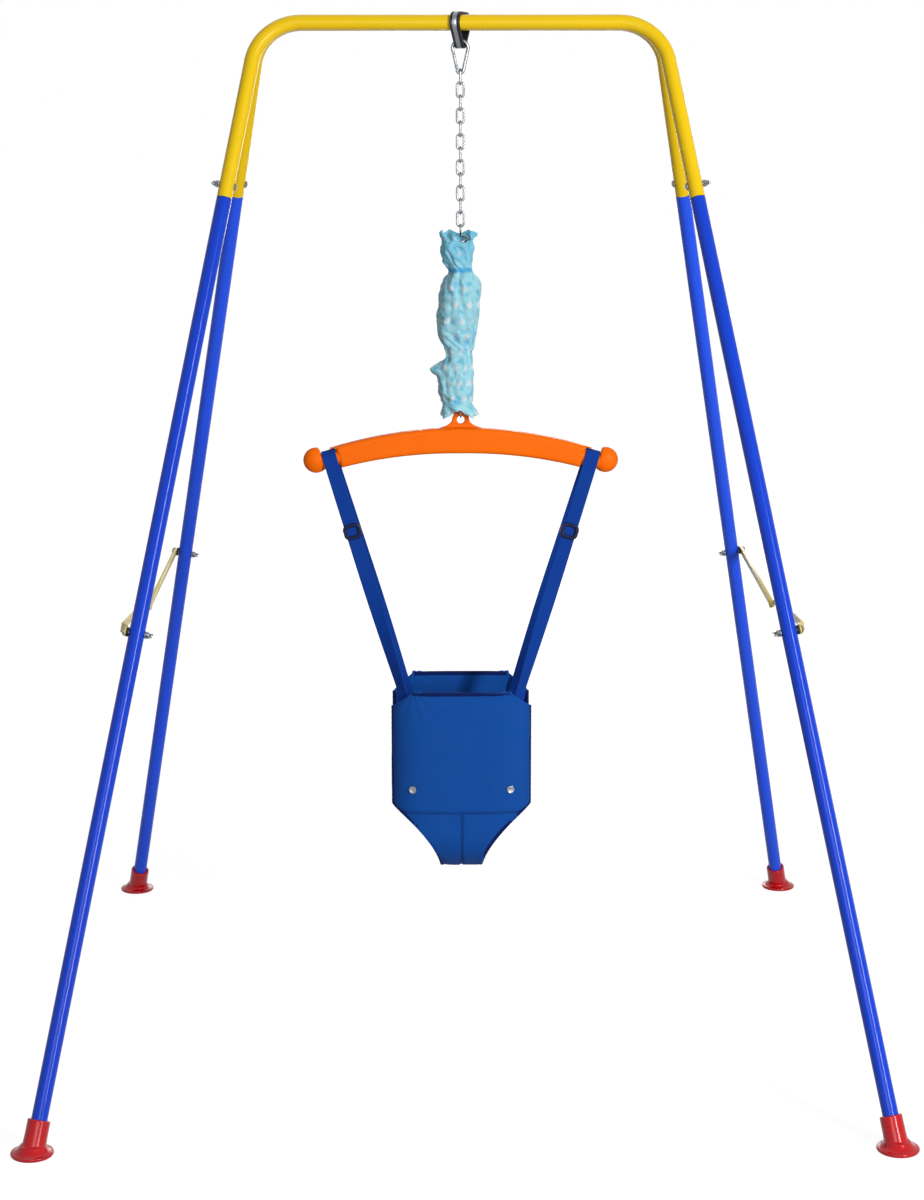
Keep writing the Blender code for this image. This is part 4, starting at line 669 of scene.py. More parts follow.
# %% The class behind every tree
class Recipe(Nodes):
    """A geometry tree with a name for each of its sizes."""

    kinds = {int: "NodeSocketInt", float: "NodeSocketFloat"}

    def __init__(self, name, **sizes):
        self.tree = bpy.data.node_groups.new(name, "GeometryNodeTree")
        face = self.tree.interface
        face.new_socket("Geometry", in_out="INPUT", socket_type="NodeSocketGeometry")
        face.new_socket("Geometry", in_out="OUTPUT", socket_type="NodeSocketGeometry")
        self.names = {}
        for key, value in {**sizes, "material": None}.items():
            kind = self.kinds.get(type(value), "NodeSocketMaterial")
            label = key.replace("_", " ").title()
            item = face.new_socket(label, in_out="INPUT", socket_type=kind)
            if value is not None:
                item.default_value = value
            self.names[key] = item.identifier
        self.entry = self.tree.nodes.new("NodeGroupInput")
        self.shape = Signal(self, self.entry.outputs[0])

    def size(self, key):
        found = {socket.identifier: socket for socket in self.entry.outputs}
        return Signal(self, found[self.names[key]])

    def end(self, geometry):
        """The end of every tree: real geometry that carries its material."""
        real = self.node("GeometryNodeRealizeInstances", None, {0: geometry})
        inputs = {"Geometry": real, "Material": self.size("material")}
        painted = self.node("GeometryNodeSetMaterial", None, inputs)
        leave = self.tree.nodes.new("NodeGroupOutput")
        self.tree.links.new(painted.socket, leave.inputs[0])
        return self

    def make(self, mesh, **values):
        """The plain mesh that the tree makes from this mesh and these sizes."""
        obj = linked("recipe", mesh)
        modifier = obj.modifiers.new("Tree", "NODES")
        modifier.node_group = self.tree
        for key, value in values.items():
            modifier[self.names[key]] = value
        return baked(obj)


def polyline(points):
    """A mesh of bare edges, the start of each swept shape."""
    mesh = bpy.data.meshes.new("path")
    mesh.from_pydata(points, [(i, i + 1) for i in range(len(points) - 1)], [])
    return mesh


# %% [markdown]
# ## Where the stand is
#
# Both halves of the stand lean on the fold joint's line. Each leg runs straight from its corner
# of the top bar to its foot, so two points give every place on it. A joint in the frame's list
# says how high the bar is and how far it lies from the middle.

# %% Stand sizes
TUBE_RADIUS = 0.0095
TUBE_WALL = 0.0012
BEND_RADIUS = 0.062
CORNER_HALF_X = 0.251
FOOT_HALF_X = 0.499
FOOT_HALF_Y = 0.500
JOINT_DROP = 0.215
BRACE_DROP = 0.7230
LEG_END_UP = 0.009
GAP = 0.0003
_, BAR_HALF_Y, BAR_Z = JOINTS["frame_fold"]["pos_m"]


def leg_point(side, face, drop):
    """A point on a leg's axis, a vertical distance below the bar."""
    corner = Vector((side * CORNER_HALF_X, face * BAR_HALF_Y, BAR_Z))
    return corner.lerp(Vector((side * FOOT_HALF_X, face * FOOT_HALF_Y, 0.0)), drop / BAR_Z)


def leg_down(side, face):
    return (leg_point(side, face, BAR_Z) - leg_point(side, face, 0.0)).normalized()


def cross_axis(side, face):
    """Outward along the bolts, square to the leg."""
    axis = leg_down(side, face).cross(Y_AXIS).normalized()
    return axis if axis.x * side > 0 else -axis


def stand_body(face):
    return f"frame_{FACES[face]}"


def corner_name(side, face):
    return f"{FACES[face]}_{SIDES[side]}"


print(f"bars at {BAR_Z:.4f} m, legs {(leg_point(1, 1, BAR_Z) - leg_point(1, 1, 0)).length:.3f} m")

# %% [markdown]
# ## Bent top tubes
#
# A top tube is one length of steel bent twice. Its centre line has only four corners, and a
# Fillet Curve node rounds the two bends. The tree stores the distance to the nearer end in the
# UV map, where the enamel looks for its worn band. Solidify then gives the tube its wall.

# %% Top tubes
BEND_STEPS = 24
TUBE_SIDES = 40

tube_sizes = {"radius": TUBE_RADIUS, "bend": BEND_RADIUS, "steps": BEND_STEPS, "sides": TUBE_SIDES}
bent = Recipe("bent_tube", **tube_sizes)
line = bent.node("GeometryNodeMeshToCurve", None, {0: bent.shape})
rounded = bent.node(
    "GeometryNodeFilletCurve",
    {"mode": "POLY"},
    {"Curve": line, "Count": bent.size("steps"), "Radius": bent.size("bend")},
)
station = bent.node("GeometryNodeSplineParameter", None, None, "Length")
whole = bent.node("GeometryNodeSplineLength", None, None, "Length")
nearer = station.do("MINIMUM", whole - station)
kept = bent.tree.nodes.new("GeometryNodeCaptureAttribute")
kept.capture_items.new("FLOAT", "Along")
bent.tree.links.new(rounded.socket, kept.inputs[0])
bent.tree.links.new(nearer.socket, kept.inputs[1])
ring_sizes = {"Radius": bent.size("radius"), "Resolution": bent.size("sides")}
ring = bent.node("GeometryNodeCurvePrimitiveCircle", None, ring_sizes)
swept = bent.node(
    "GeometryNodeCurveToMesh",
    None,
    {"Curve": Signal(bent, kept.outputs[0]), "Profile Curve": ring},
)
uv_point = bent.node("ShaderNodeCombineXYZ", None, {"Y": Signal(bent, kept.outputs[1])})
mapped = bent.node(
    "GeometryNodeStoreNamedAttribute",
    {"data_type": "FLOAT2", "domain": "CORNER"},
    {"Geometry": swept, "Name": "metres", "Value": uv_point},
)
bent.end(mapped)


def top_tube(face):
    corners = [(-1, JOINT_DROP), (-1, 0.0), (1, 0.0), (1, JOINT_DROP)]
    path = [leg_point(side, face, drop) for side, drop in corners]
    mesh = bent.make(polyline(path), material=PAINT_YELLOW, **tube_sizes)
    wall = {"thickness": TUBE_WALL, "offset": -1.0}
    mesh = reshaped(cleaned(mesh), ("SOLIDIFY", wall))
    node = f"top_tube_{FACES[face]}"
    name = f"bent_tube_{FACES[face]}"
    return piece(name, mesh, PAINT_YELLOW, stand_body(face), node)


for face in FACES:
    print(top_tube(face).name, "made")

# %% [markdown]
# ## Legs
#
# A leg is a plain tube whose top is drawn in, so that it slides into the bent tube. It is turned
# from one profile. Both pairs have one blue paint, given as two copies with painted light: the
# front copy is deeper and glossier and the back copy lighter and rougher, as each pair is lit.

# %% Legs
SPIGOT_RADIUS = TUBE_RADIUS - TUBE_WALL - GAP
SPIGOT_LENGTH = 0.045
EDGE_ROUND = 0.0005


def leg(side, face):
    down = leg_down(side, face)
    joint = leg_point(side, face, JOINT_DROP) + down * GAP
    length = (leg_point(side, face, BAR_Z - LEG_END_UP) - joint).length
    bore = TUBE_RADIUS - TUBE_WALL
    profile = [
        (SPIGOT_RADIUS, SPIGOT_LENGTH),
        (SPIGOT_RADIUS, 0.0),
        (TUBE_RADIUS - EDGE_ROUND, 0.0),
        (TUBE_RADIUS, -EDGE_ROUND),
        (TUBE_RADIUS, -0.01),
        (TUBE_RADIUS, -length),
        (bore, -length),
        (bore, -0.005),
        (SPIGOT_RADIUS - TUBE_WALL, -0.002),
        (SPIGOT_RADIUS - TUBE_WALL, SPIGOT_LENGTH),
    ]
    mesh = turned(profile, placed(joint, -down, X_AXIS), TUBE_SIDES)
    tail = corner_name(side, face)
    # Painted light: front and back legs get copies of one blue paint, each set to how its pair is
    # lit.
    paint = PAINT_FRONT_AS_LIT if face < 0 else PAINT_BACK_AS_LIT
    name = f"leg_tube_{tail}"
    return piece(name, mesh, paint, stand_body(face), f"leg_{tail}")


for side, face in CORNERS:
    leg(side, face)

# %% [markdown]
# ## Feet
#
# Each foot is one moulding: a cup that leans with the leg on a domed flange that lies flat. The
# two shapes are turned apart, each in its own direction. A voxel remesh melts them together, and
# a few rounds of smoothing leave the soft fillet of a moulding.

# %% Feet
FOOT_CUP_RADIUS = 0.0133
FOOT_CUP_TOP = 0.0400
FOOT_FLANGE_RADIUS = 0.0248
FOOT_FLANGE_HEIGHT = 0.0125
FOOT_RIM_HEIGHT = 0.0042
FOOT_VOXEL = 0.0008


def foot(side, face):
    up = -leg_down(side, face)
    ground = leg_point(side, face, BAR_Z)
    rim, high = FOOT_FLANGE_RADIUS, FOOT_FLANGE_HEIGHT
    root = FOOT_CUP_RADIUS * 1.02
    flange = [(0.0, high), (root, high)]
    for step in range(1, 11):
        share = step / 10
        radius = root + (rim - root) * (0.75 * share + 0.25 * share**2)
        flange.append((radius, high - (high - FOOT_RIM_HEIGHT) * (1 - (1 - share) ** 1.8)))
    flange += [(rim + 0.0003, FOOT_RIM_HEIGHT * 0.6), (rim, FOOT_RIM_HEIGHT * 0.25)]
    flange += [(rim - 0.0010, 0.0), (0.0, 0.0)]
    lean = Matrix.Translation(ground)
    base = turned(flange, lean, 96)
    inner = TUBE_RADIUS + GAP
    floor_of_cup = LEG_END_UP * 0.9
    cup = [
        (inner, FOOT_CUP_TOP),
        (FOOT_CUP_RADIUS - 0.0006, FOOT_CUP_TOP),
        (FOOT_CUP_RADIUS, FOOT_CUP_TOP - 0.0008),
        (FOOT_CUP_RADIUS, FOOT_CUP_TOP - 0.0045),
        (FOOT_CUP_RADIUS * 1.01, FOOT_CUP_TOP * 0.5),
        (FOOT_CUP_RADIUS * 1.05, FOOT_FLANGE_HEIGHT * 0.5),
        (0.0, FOOT_FLANGE_HEIGHT * 0.5),
        (0.0, floor_of_cup),
        (inner, floor_of_cup),
    ]
    shell = turned(cup, placed(ground, up, X_AXIS), 64)
    mesh = fused([base, shell], FOOT_VOXEL, 4, 0.5)
    tail = corner_name(side, face)
    name = f"moulded_foot_{tail}"
    return piece(name, mesh, FOOT_RED, stand_body(face), f"foot_{tail}", angle=50)


for side, face in CORNERS:
    foot(side, face)

# %% [markdown]
# ## Screws, wing nuts and spacers
#
# A wing nut is a tapered hub with two ears that a thumb can turn. The ears are one flat outline
# with rounded edges. The bolt's end stands out of the nut and shows its thread, which is a
# profile of small teeth.

# %% Wing nuts and bolts
WING_HUB_RADIUS = 0.0046
WING_HUB_HEIGHT = 0.0050
WING_SPAN = 0.0105
WING_REACH = 0.0090
WING_THICKNESS = 0.0018
THREAD_PITCH = 0.0008
BOLT_TIP = 0.0030


def wing_nut(seat, radius):
    """A wing nut that sits at a height on Z, and the threaded end in it."""
    hub = [
        (0.0, seat + WING_HUB_HEIGHT),
        (WING_HUB_RADIUS * 0.78, seat + WING_HUB_HEIGHT),
        (WING_HUB_RADIUS * 0.86, seat + WING_HUB_HEIGHT * 0.88),
        (WING_HUB_RADIUS * 0.98, seat + WING_HUB_HEIGHT * 0.1),
        (WING_HUB_RADIUS * 0.95, seat),
        (0.0, seat),
    ]
    low, high = 0.0006, WING_HUB_HEIGHT
    ear = [(WING_HUB_RADIUS * 0.5, low), (WING_HUB_RADIUS * 1.1, low)]
    ear += [(WING_SPAN * 0.84, WING_REACH * 0.42)]
    ear += arc(WING_REACH * 0.26, (WING_SPAN * 0.78, WING_REACH * 0.76), -0.6, 2.6, 8)
    ear += [(WING_HUB_RADIUS * 0.5, high * 0.8)]
    outline = ear + [(-x, z) for x, z in reversed(ear)]
    upright = Matrix.Translation((0.0, 0.0, seat)) @ Matrix.Rotation(math.pi / 2, 4, "X")
    wings = plate([outline], WING_THICKNESS, upright, WING_THICKNESS * 0.35)
    end = seat + WING_HUB_HEIGHT + BOLT_TIP
    teeth = int(BOLT_TIP / THREAD_PITCH)
    bolt = [(0.0, end), (radius * 0.82, end)]
    for tooth in range(teeth):
        top = end - 0.0004 - tooth * THREAD_PITCH
        bolt += [(radius * 0.86, top), (radius, top - THREAD_PITCH / 2)]
    bolt += [(radius * 0.9, seat + WING_HUB_HEIGHT * 0.5), (0.0, seat + WING_HUB_HEIGHT * 0.5)]
    still = Matrix.Identity(4)
    return [turned(hub, still, 32), wings, turned(bolt, still, 24)]


def domed(radius, height, seat):
    """Points of a dome-headed button, from its crown down to its seat."""
    points = [(0.0, seat + height)]
    for step in range(1, 7):
        angle = math.pi / 2 * step / 6
        points.append((radius * math.sin(angle), seat + height * math.cos(angle)))
    points[-1] = (radius, seat + height * 0.16)
    return [*points, (radius * 0.96, seat)]


SCREW_RADIUS = 0.0029
SCREW_HEAD_RADIUS = 0.0048
SCREW_HEAD_HEIGHT = 0.0030
SCREW_ABOVE_JOINT = 0.0168


def joint_screw(side, face):
    """The screw through a tube joint: wings outside, a domed head inside."""
    seat = TUBE_RADIUS + GAP
    meshes = wing_nut(seat, SCREW_RADIUS)
    head = domed(SCREW_HEAD_RADIUS, SCREW_HEAD_HEIGHT, seat)
    shank = [(SCREW_RADIUS, seat), (SCREW_RADIUS, -seat), (0.0, -seat)]
    turn_over = Matrix.Rotation(math.pi, 4, "X")
    meshes.append(turned(head + shank, turn_over, 32))
    mesh = joined(*meshes)
    centre = leg_point(side, face, JOINT_DROP) - leg_down(side, face) * SCREW_ABOVE_JOINT
    mesh.transform(placed(centre, cross_axis(side, face), Y_AXIS))
    tail = corner_name(side, face)
    name = f"wing_screw_{tail}"
    return piece(name, mesh, ZINC, stand_body(face), f"joint_screw_{tail}")


for side, face in CORNERS:
    joint_screw(side, face)
print("four joint screws")

# %% [markdown]
# ## Braces
#
# A brace keeps the two halves of the stand apart and folds at its middle. One half is a channel
# of bent sheet and the other a flat bar, and both are right in the CAD model. A copy is merged
# and its sharp edges are bevelled, because sheet metal always shows a thin bright edge. The rear
# half also gets the hub that it turns on, round the rivet's line.

# %% Braces and their fastenings
BRACE_BOLT_RADIUS = 0.0028
BRACE_HEAD_RADIUS = 0.0052
BRACE_HEAD_HEIGHT = 0.0028
REAR_INNER = 0.0121
REAR_OUTER = 0.0163
BAR_INNER = 0.0131
BAR_OUTER = 0.0149
FRONT_RUN_INNER = 0.0208
FRONT_RUN_OUTER = 0.0226
SPACER_RADIUS = 0.0058
RIVET_HEAD_RADIUS = 0.0046
RIVET_HEAD_HEIGHT = 0.0016
KNUCKLE_RADIUS = 0.0068
KNUCKLE_EDGE = 0.0012
KNUCKLE_DISH = 0.0008
KNUCKLE_OVERLAP = 0.0008
KNUCKLE_OFF_LEG = 0.0015
RIVET_STEM_RADIUS = 0.0024


def softened(node, width, angle=35, segments=2):
    """A merged copy of a CAD node with its sharp edges bevelled."""
    mesh = cleaned(frame["nodes"][node].data.copy())
    limit = {"limit_method": "ANGLE", "angle_limit": math.radians(angle)}
    flat = {"decimate_type": "DISSOLVE", "angle_limit": math.radians(1.5)}
    edge = {"width": width, "segments": segments, "use_clamp_overlap": True, **limit}
    return reshaped(mesh, ("DECIMATE", flat), ("BEVEL", edge))


def brace_pivot(side):
    """Where the rivet crosses the middle of the leg's plane, and its direction."""
    tip = leg_point(side, -1, BRACE_DROP)
    low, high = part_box(f"brace_rivet_{SIDES[side]}")
    axis = cross_axis(side, -1)
    middle = (low + high) / 2
    return middle - axis * (middle - tip).dot(axis), axis


def brace(side, face):
    tail = corner_name(side, face)
    mesh = softened(f"brace_{tail}", 0.00035)
    if face > 0:
        centre, axis = brace_pivot(side)
        seat = REAR_INNER + KNUCKLE_OVERLAP
        tip = TUBE_RADIUS + KNUCKLE_OFF_LEG
        dish = tip + KNUCKLE_DISH
        hub = [(0.0, seat), (KNUCKLE_RADIUS, seat), (KNUCKLE_RADIUS, tip + KNUCKLE_EDGE)]
        hub += [(KNUCKLE_RADIUS - KNUCKLE_EDGE, tip), (KNUCKLE_RADIUS * 0.4, tip)]
        hub += [(KNUCKLE_RADIUS * 0.3, dish), (0.0, dish)]
        mesh = joined(mesh, turned(hub, placed(centre, axis, Y_AXIS), 32))
    body = f"brace_half_{tail}"
    return piece(f"folding_bar_{tail}", mesh, PAINT_BRACE, body, f"brace_{tail}")


def brace_bolt(side, face):
    """The bolt, its nut and the spacer that pivot a brace on its leg."""
    tail = corner_name(side, face)
    place = placed(leg_point(side, face, BRACE_DROP), cross_axis(side, face), Y_AXIS)
    start = TUBE_RADIUS + GAP
    end = (REAR_INNER if face > 0 else BAR_INNER) - GAP
    head_seat = (REAR_OUTER if face > 0 else BAR_OUTER) + GAP
    bore = BRACE_BOLT_RADIUS + GAP
    lip = 0.0003
    sleeve = [(bore, end), (SPACER_RADIUS - lip, end), (SPACER_RADIUS, end - lip)]
    sleeve += [(SPACER_RADIUS, start + lip), (SPACER_RADIUS - lip, start), (bore, start)]
    spacer = turned(sleeve, place, 32)
    body = stand_body(face)
    piece(f"spacer_{tail}", spacer, BLACK_RUBBER, body, f"brace_spacer_{tail}")
    head = domed(BRACE_HEAD_RADIUS, BRACE_HEAD_HEIGHT, head_seat)
    shank = [(BRACE_BOLT_RADIUS, head_seat), (BRACE_BOLT_RADIUS, -start), (0.0, -start)]
    bolt = turned(head + shank, place, 32)
    piece(f"pivot_bolt_{tail}", bolt, ZINC, body, f"brace_bolt_{tail}")
    nut = joined(*wing_nut(start, BRACE_BOLT_RADIUS))
    nut.transform(place @ Matrix.Rotation(math.pi, 4, "X"))
    piece(f"wing_nut_{tail}", nut, ZINC, body, f"brace_nut_{tail}")


def brace_rivet(side):
    """The rivet in the middle of a brace."""
    centre, axis = brace_pivot(side)
    head = domed(RIVET_HEAD_RADIUS, RIVET_HEAD_HEIGHT, FRONT_RUN_OUTER + GAP)
    collar = FRONT_RUN_INNER - GAP
    low = REAR_OUTER + 0.0009
    stem = RIVET_STEM_RADIUS
    profile = head + [(stem, FRONT_RUN_OUTER + GAP), (stem, collar), (RIVET_HEAD_RADIUS, collar)]
    profile += [(RIVET_HEAD_RADIUS * 0.8, low), (0.0, low)]
    mesh = turned(profile, placed(centre, axis, Y_AXIS), 32)
    tail = SIDES[side]
    body = f"brace_half_front_{tail}"
    return piece(f"rivet_{tail}", mesh, ZINC, body, f"brace_rivet_{tail}")


for side in SIDES:
    for face in FACES:
        brace(side, face)
        brace_bolt(side, face)
    brace_rivet(side)
print("braces, bolts, nuts, spacers and rivets")

# %% [markdown]
# ## The lined band
#
# A steel band wraps both top bars and carries the hook. Rubber lies under it, with a lip along
# each edge so that the steel never touches the paint. Lining and band are the same closed line
# at different distances from the bars, so a cross-section is a list of (along the bar, away from
# the bar) points, and each of them runs once round the line.

# %% Band and lining
BAND_DROP = 0.0249
BAND_BOTTOM_RADIUS = 0.0030
BAND_SKEW = 0.34
LINING_WIDTH = 0.0124
LINING_BASE = 0.0020
LINING_LIP_WIDTH = 0.0030
LINING_LIP_HEIGHT = 0.0016
BAND_THICKNESS = 0.0012
BAND_ARC_STEPS = 24


def band_line(offset):
    """The closed line round both bars and the hook, outside them by the offset."""
    bar, low = TUBE_RADIUS + offset, BAND_BOTTOM_RADIUS + offset
    run = Vector((BAR_HALF_Y, BAND_DROP))
    lean = math.atan2(run.y, run.x) - math.acos((low - bar) / run.length)
    quarter = math.pi / 2
    points = arc(bar, (BAR_HALF_Y, 0.0), lean, quarter - lean, BAND_ARC_STEPS)
    points += arc(bar, (-BAR_HALF_Y, 0.0), quarter, quarter - lean, BAND_ARC_STEPS)
    bottom = (0.0, -BAND_DROP)
    return points + arc(low, bottom, math.pi - lean, math.pi + 2 * lean, BAND_ARC_STEPS)


def band_mesh(section):
    """Runs a closed cross-section of (x, offset) points round the bars."""
    work = bmesh.new()
    rings = []
    for x, offset in section:
        line_points = band_line(offset)
        rings.append([work.verts.new((x + BAND_SKEW * y, y, BAR_Z + z)) for y, z in line_points])
    for ring, after in zip(rings, rings[1:] + rings[:1]):
        for i in range(len(ring)):
            j = (i + 1) % len(ring)
            work.faces.new((ring[i], ring[j], after[j], after[i]))
    bmesh.ops.recalc_face_normals(work, faces=work.faces)
    return finished(work, "band")


def lip_section(half, base, lip_width, lip_height, steps=5):
    """A channel with two rounded lips, seen from its end."""
    radius = lip_width / 2
    right = [(half - radius + radius * x, base + lip_height - radius + radius * z)
             for x, z in arc(1.0, (0.0, 0.0), 0.0, math.pi, steps)]
    left = [(-x, z) for x, z in reversed(right)]
    inner = half - lip_width
    chamfer = 0.0003
    corner = [(half - chamfer, GAP), (half, GAP + chamfer)]
    low = [(-x, z) for x, z in reversed(corner)] + corner
    return [*right, (inner, base), (-inner, base), *left, *low]


lining_mesh = band_mesh(
    lip_section(LINING_WIDTH / 2, GAP + LINING_BASE, LINING_LIP_WIDTH, LINING_LIP_HEIGHT)
)
piece("rubber_lining", lining_mesh, BLACK_RUBBER, "frame_front", "hanger_lining")

band_half = LINING_WIDTH / 2 - LINING_LIP_WIDTH - GAP
band_low = GAP + LINING_BASE + GAP
band_edge = 0.0003
band_section = [
    (band_half - band_edge, band_low),
    (band_half, band_low + band_edge),
    (band_half, band_low + BAND_THICKNESS - band_edge),
    (band_half - band_edge, band_low + BAND_THICKNESS),
]
band_section += [(-x, z) for x, z in reversed(band_section)]
piece("steel_band", band_mesh(band_section), ZINC, "frame_front", "hanger_band")
print("band and lining of", len(lining_mesh.polygons), "faces")

# %% [markdown]
# ## The snap hook
#
# The hook is one bent steel wire with a spring gate on its left side. Its outline is two arcs
# and the straight lines that touch both. The gate is a plain bar with a knuckle and a small pin
# at its pivot, and its end stops just short of the hook's nose.

# %% Hook and gate
HOOK_WIRE_RADIUS = 0.00225
HOOK_TOP_RADIUS = 0.00975
HOOK_BOTTOM_RADIUS = 0.00385
HOOK_CENTRES = 0.0267
GATE_RADIUS = 0.0019
GATE_START = 0.16
GATE_END = 0.90
GATE_PIVOT = Vector(JOINTS["gate_open"]["pos_m"])
HOOK_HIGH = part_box("snap_hook")[1].z
HOOK_TOP_Z = HOOK_HIGH - HOOK_TOP_RADIUS - HOOK_WIRE_RADIUS
HOOK_BOTTOM_Z = HOOK_TOP_Z - HOOK_CENTRES
HOOK_LEAN = math.asin((HOOK_TOP_RADIUS - HOOK_BOTTOM_RADIUS) / HOOK_CENTRES)


def hook_side(share):
    """A point on the gate's side of the hook, from its bottom to its top."""
    outward = Vector((-math.cos(HOOK_LEAN), 0.0, -math.sin(HOOK_LEAN)))
    low = Vector((0.0, 0.0, HOOK_BOTTOM_Z)) + outward * HOOK_BOTTOM_RADIUS
    return low.lerp(Vector((0.0, 0.0, HOOK_TOP_Z)) + outward * HOOK_TOP_RADIUS, share)


def snap_hook():
    along = (hook_side(1.0) - hook_side(0.0)).normalized()
    stub = hook_side(GATE_START) - along * (HOOK_WIRE_RADIUS + 0.0004)
    low_turn = math.pi - 2 * HOOK_LEAN
    low = arc(HOOK_BOTTOM_RADIUS, (0.0, HOOK_BOTTOM_Z), math.pi + HOOK_LEAN, low_turn, 24)
    high = arc(HOOK_TOP_RADIUS, (0.0, HOOK_TOP_Z), -HOOK_LEAN, math.pi + 2 * HOOK_LEAN, 40)
    nose = hook_side(GATE_END)
    path = [stub, *(Vector((x, 0.0, z)) for x, z in low + high), nose]
    body = reshaped(wire(path, HOOK_WIRE_RADIUS, 24), ("BEVEL", {"width": 0.0005, "segments": 2}))
    piece("hook_wire", body, BRIGHT_STEEL, "hook", "snap_hook")
    tip = nose - along * 0.0004
    bar = wire([GATE_PIVOT, GATE_PIVOT.lerp(tip, 0.5), tip], GATE_RADIUS, 20)
    bar = reshaped(bar, ("BEVEL", {"width": 0.0004, "segments": 2}))
    knuckle = domed(HOOK_WIRE_RADIUS, HOOK_WIRE_RADIUS * 0.8, 0.0004)
    pin = knuckle + [(r, -z) for r, z in reversed(knuckle)]
    gate = joined(bar, turned(pin, placed(GATE_PIVOT, Y_AXIS, Z_AXIS), 24))
    piece("gate_bar", gate, BRIGHT_STEEL, "gate", "snap_gate")


snap_hook()
print(f"hook from {HOOK_TOP_Z:.4f} down to {HOOK_BOTTOM_Z:.4f} m")

# %% [markdown]
# ## The chain
#
# Twelve welded links, each turned a quarter from the last. A link is a rounded rectangle swept
# with a wire. The tree repeats it down a line, and the same tree makes the three lengths of
# chain that swing on bodies of their own. The first number of each length keeps the quarter
# turns in step.

# %% Chain links
LINKS_A_BODY = 4
LINK_WIRE_RADIUS = 0.0015
LINK_PITCH = 0.01608
LINK_WIDTH = 0.0117
LINK_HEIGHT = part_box("chain_link_01")[1].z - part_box("chain_link_01")[0].z
CHAIN_TOP_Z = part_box("chain_link_01")[1].z - LINK_WIRE_RADIUS

chain = Recipe(
    "chain_length",
    pitch=LINK_PITCH,
    width=LINK_WIDTH,
    height=LINK_HEIGHT,
    wire_radius=LINK_WIRE_RADIUS,
    first=0,
    count=LINKS_A_BODY,
)
thick = chain.size("wire_radius") * 2
inner_width = chain.size("width") - thick
frame_size = {"Width": inner_width, "Height": chain.size("height") - thick}
rectangle = chain.node("GeometryNodeCurvePrimitiveQuadrilateral", None, frame_size)
oval = chain.node(
    "GeometryNodeFilletCurve",
    {"mode": "POLY"},
    {"Curve": rectangle, "Count": 8, "Radius": inner_width * 0.499, "Limit Radius": True},
)
section = {"Radius": chain.size("wire_radius"), "Resolution": 14}
round_wire = chain.node("GeometryNodeCurvePrimitiveCircle", None, section)
one_link = chain.node("GeometryNodeCurveToMesh", None, {"Curve": oval, "Profile Curve": round_wire})
upright = chain.node(
    "GeometryNodeTransform", None, {"Geometry": one_link, "Rotation": (math.pi / 2, 0.0, 0.0)}
)
down = chain.node("ShaderNodeCombineXYZ", None, {"Z": chain.size("pitch") * -1.0})
row = chain.node(
    "GeometryNodeMeshLine", None, {"Count": chain.size("count"), "Offset": down}
)
number = chain.node("GeometryNodeInputIndex") + chain.size("first") + 1.0
odd = number.do("MODULO", 2.0)
quarter_turn = chain.node("ShaderNodeCombineXYZ", None, {"Z": odd * (math.pi / 2)})
links = chain.node(
    "GeometryNodeInstanceOnPoints",
    None,
    {"Points": row, "Instance": upright, "Rotation": quarter_turn},
)
chain.end(links)


def chain_length(label, first):
    centre = CHAIN_TOP_Z - first * LINK_PITCH + LINK_WIRE_RADIUS - LINK_HEIGHT / 2
    sizes = {"pitch": LINK_PITCH, "width": LINK_WIDTH, "height": LINK_HEIGHT}
    sizes.update({"wire_radius": LINK_WIRE_RADIUS, "first": first, "count": LINKS_A_BODY})
    mesh = chain.make(bpy.data.meshes.new("start"), material=BRIGHT_STEEL, **sizes)
    mesh.transform(Matrix.Translation((0.0, 0.0, centre)))
    nodes = [f"chain_link_{i + 1:02d}" for i in range(first, first + LINKS_A_BODY)]
    return piece(f"links_{label}", mesh, BRIGHT_STEEL, f"chain_{label}", nodes, 60)


for label, first in (("upper", 0), ("middle", 4), ("lower", 8)):
    made = chain_length(label, first)
    print(made.name, "has", len(made.data.polygons), "faces")

# %% [markdown]
# ## The spring and its ring
#
# The spring is one wire: a loop, fourteen open turns and a second loop. The turns are a helix
# from a formula. A short stretch that eases from one to the other joins each loop to the turns.
# When the jumper bounces, the spring grows longer between its two ends; here it is built at one
# length.

# %% Spring and ring
SPRING_WIRE_RADIUS = 0.00125
SPRING_RADIUS = 0.0105
SPRING_LOOP_RADIUS = 0.0068
SPRING_LOOP_RISE = 0.0078
SPRING_TURNS = 14.25
SPRING_TOP_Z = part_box("spring")[1].z - SPRING_WIRE_RADIUS
SPRING_LOW_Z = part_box("spring")[0].z + SPRING_WIRE_RADIUS
LOOP_SPAN = SPRING_LOOP_RISE + SPRING_LOOP_RADIUS
SPRING_BODY_TOP = SPRING_TOP_Z - LOOP_SPAN
SPRING_LENGTH = SPRING_TOP_Z - SPRING_LOW_Z - 2 * LOOP_SPAN


def spring_loop(angle, base, rise):
    """The upright loop at one end, in the plane of the angle."""
    out = Vector((math.cos(angle), math.sin(angle), 0.0))
    centre = Vector((0.0, 0.0, base + rise * SPRING_LOOP_RISE))
    points = []
    for step in range(29):
        turn = math.radians(-38 + 256 * step / 28)
        height = Z_AXIS * (rise * math.sin(turn) * SPRING_LOOP_RADIUS)
        points.append(centre + out * (math.cos(turn) * SPRING_LOOP_RADIUS) + height)
    return points


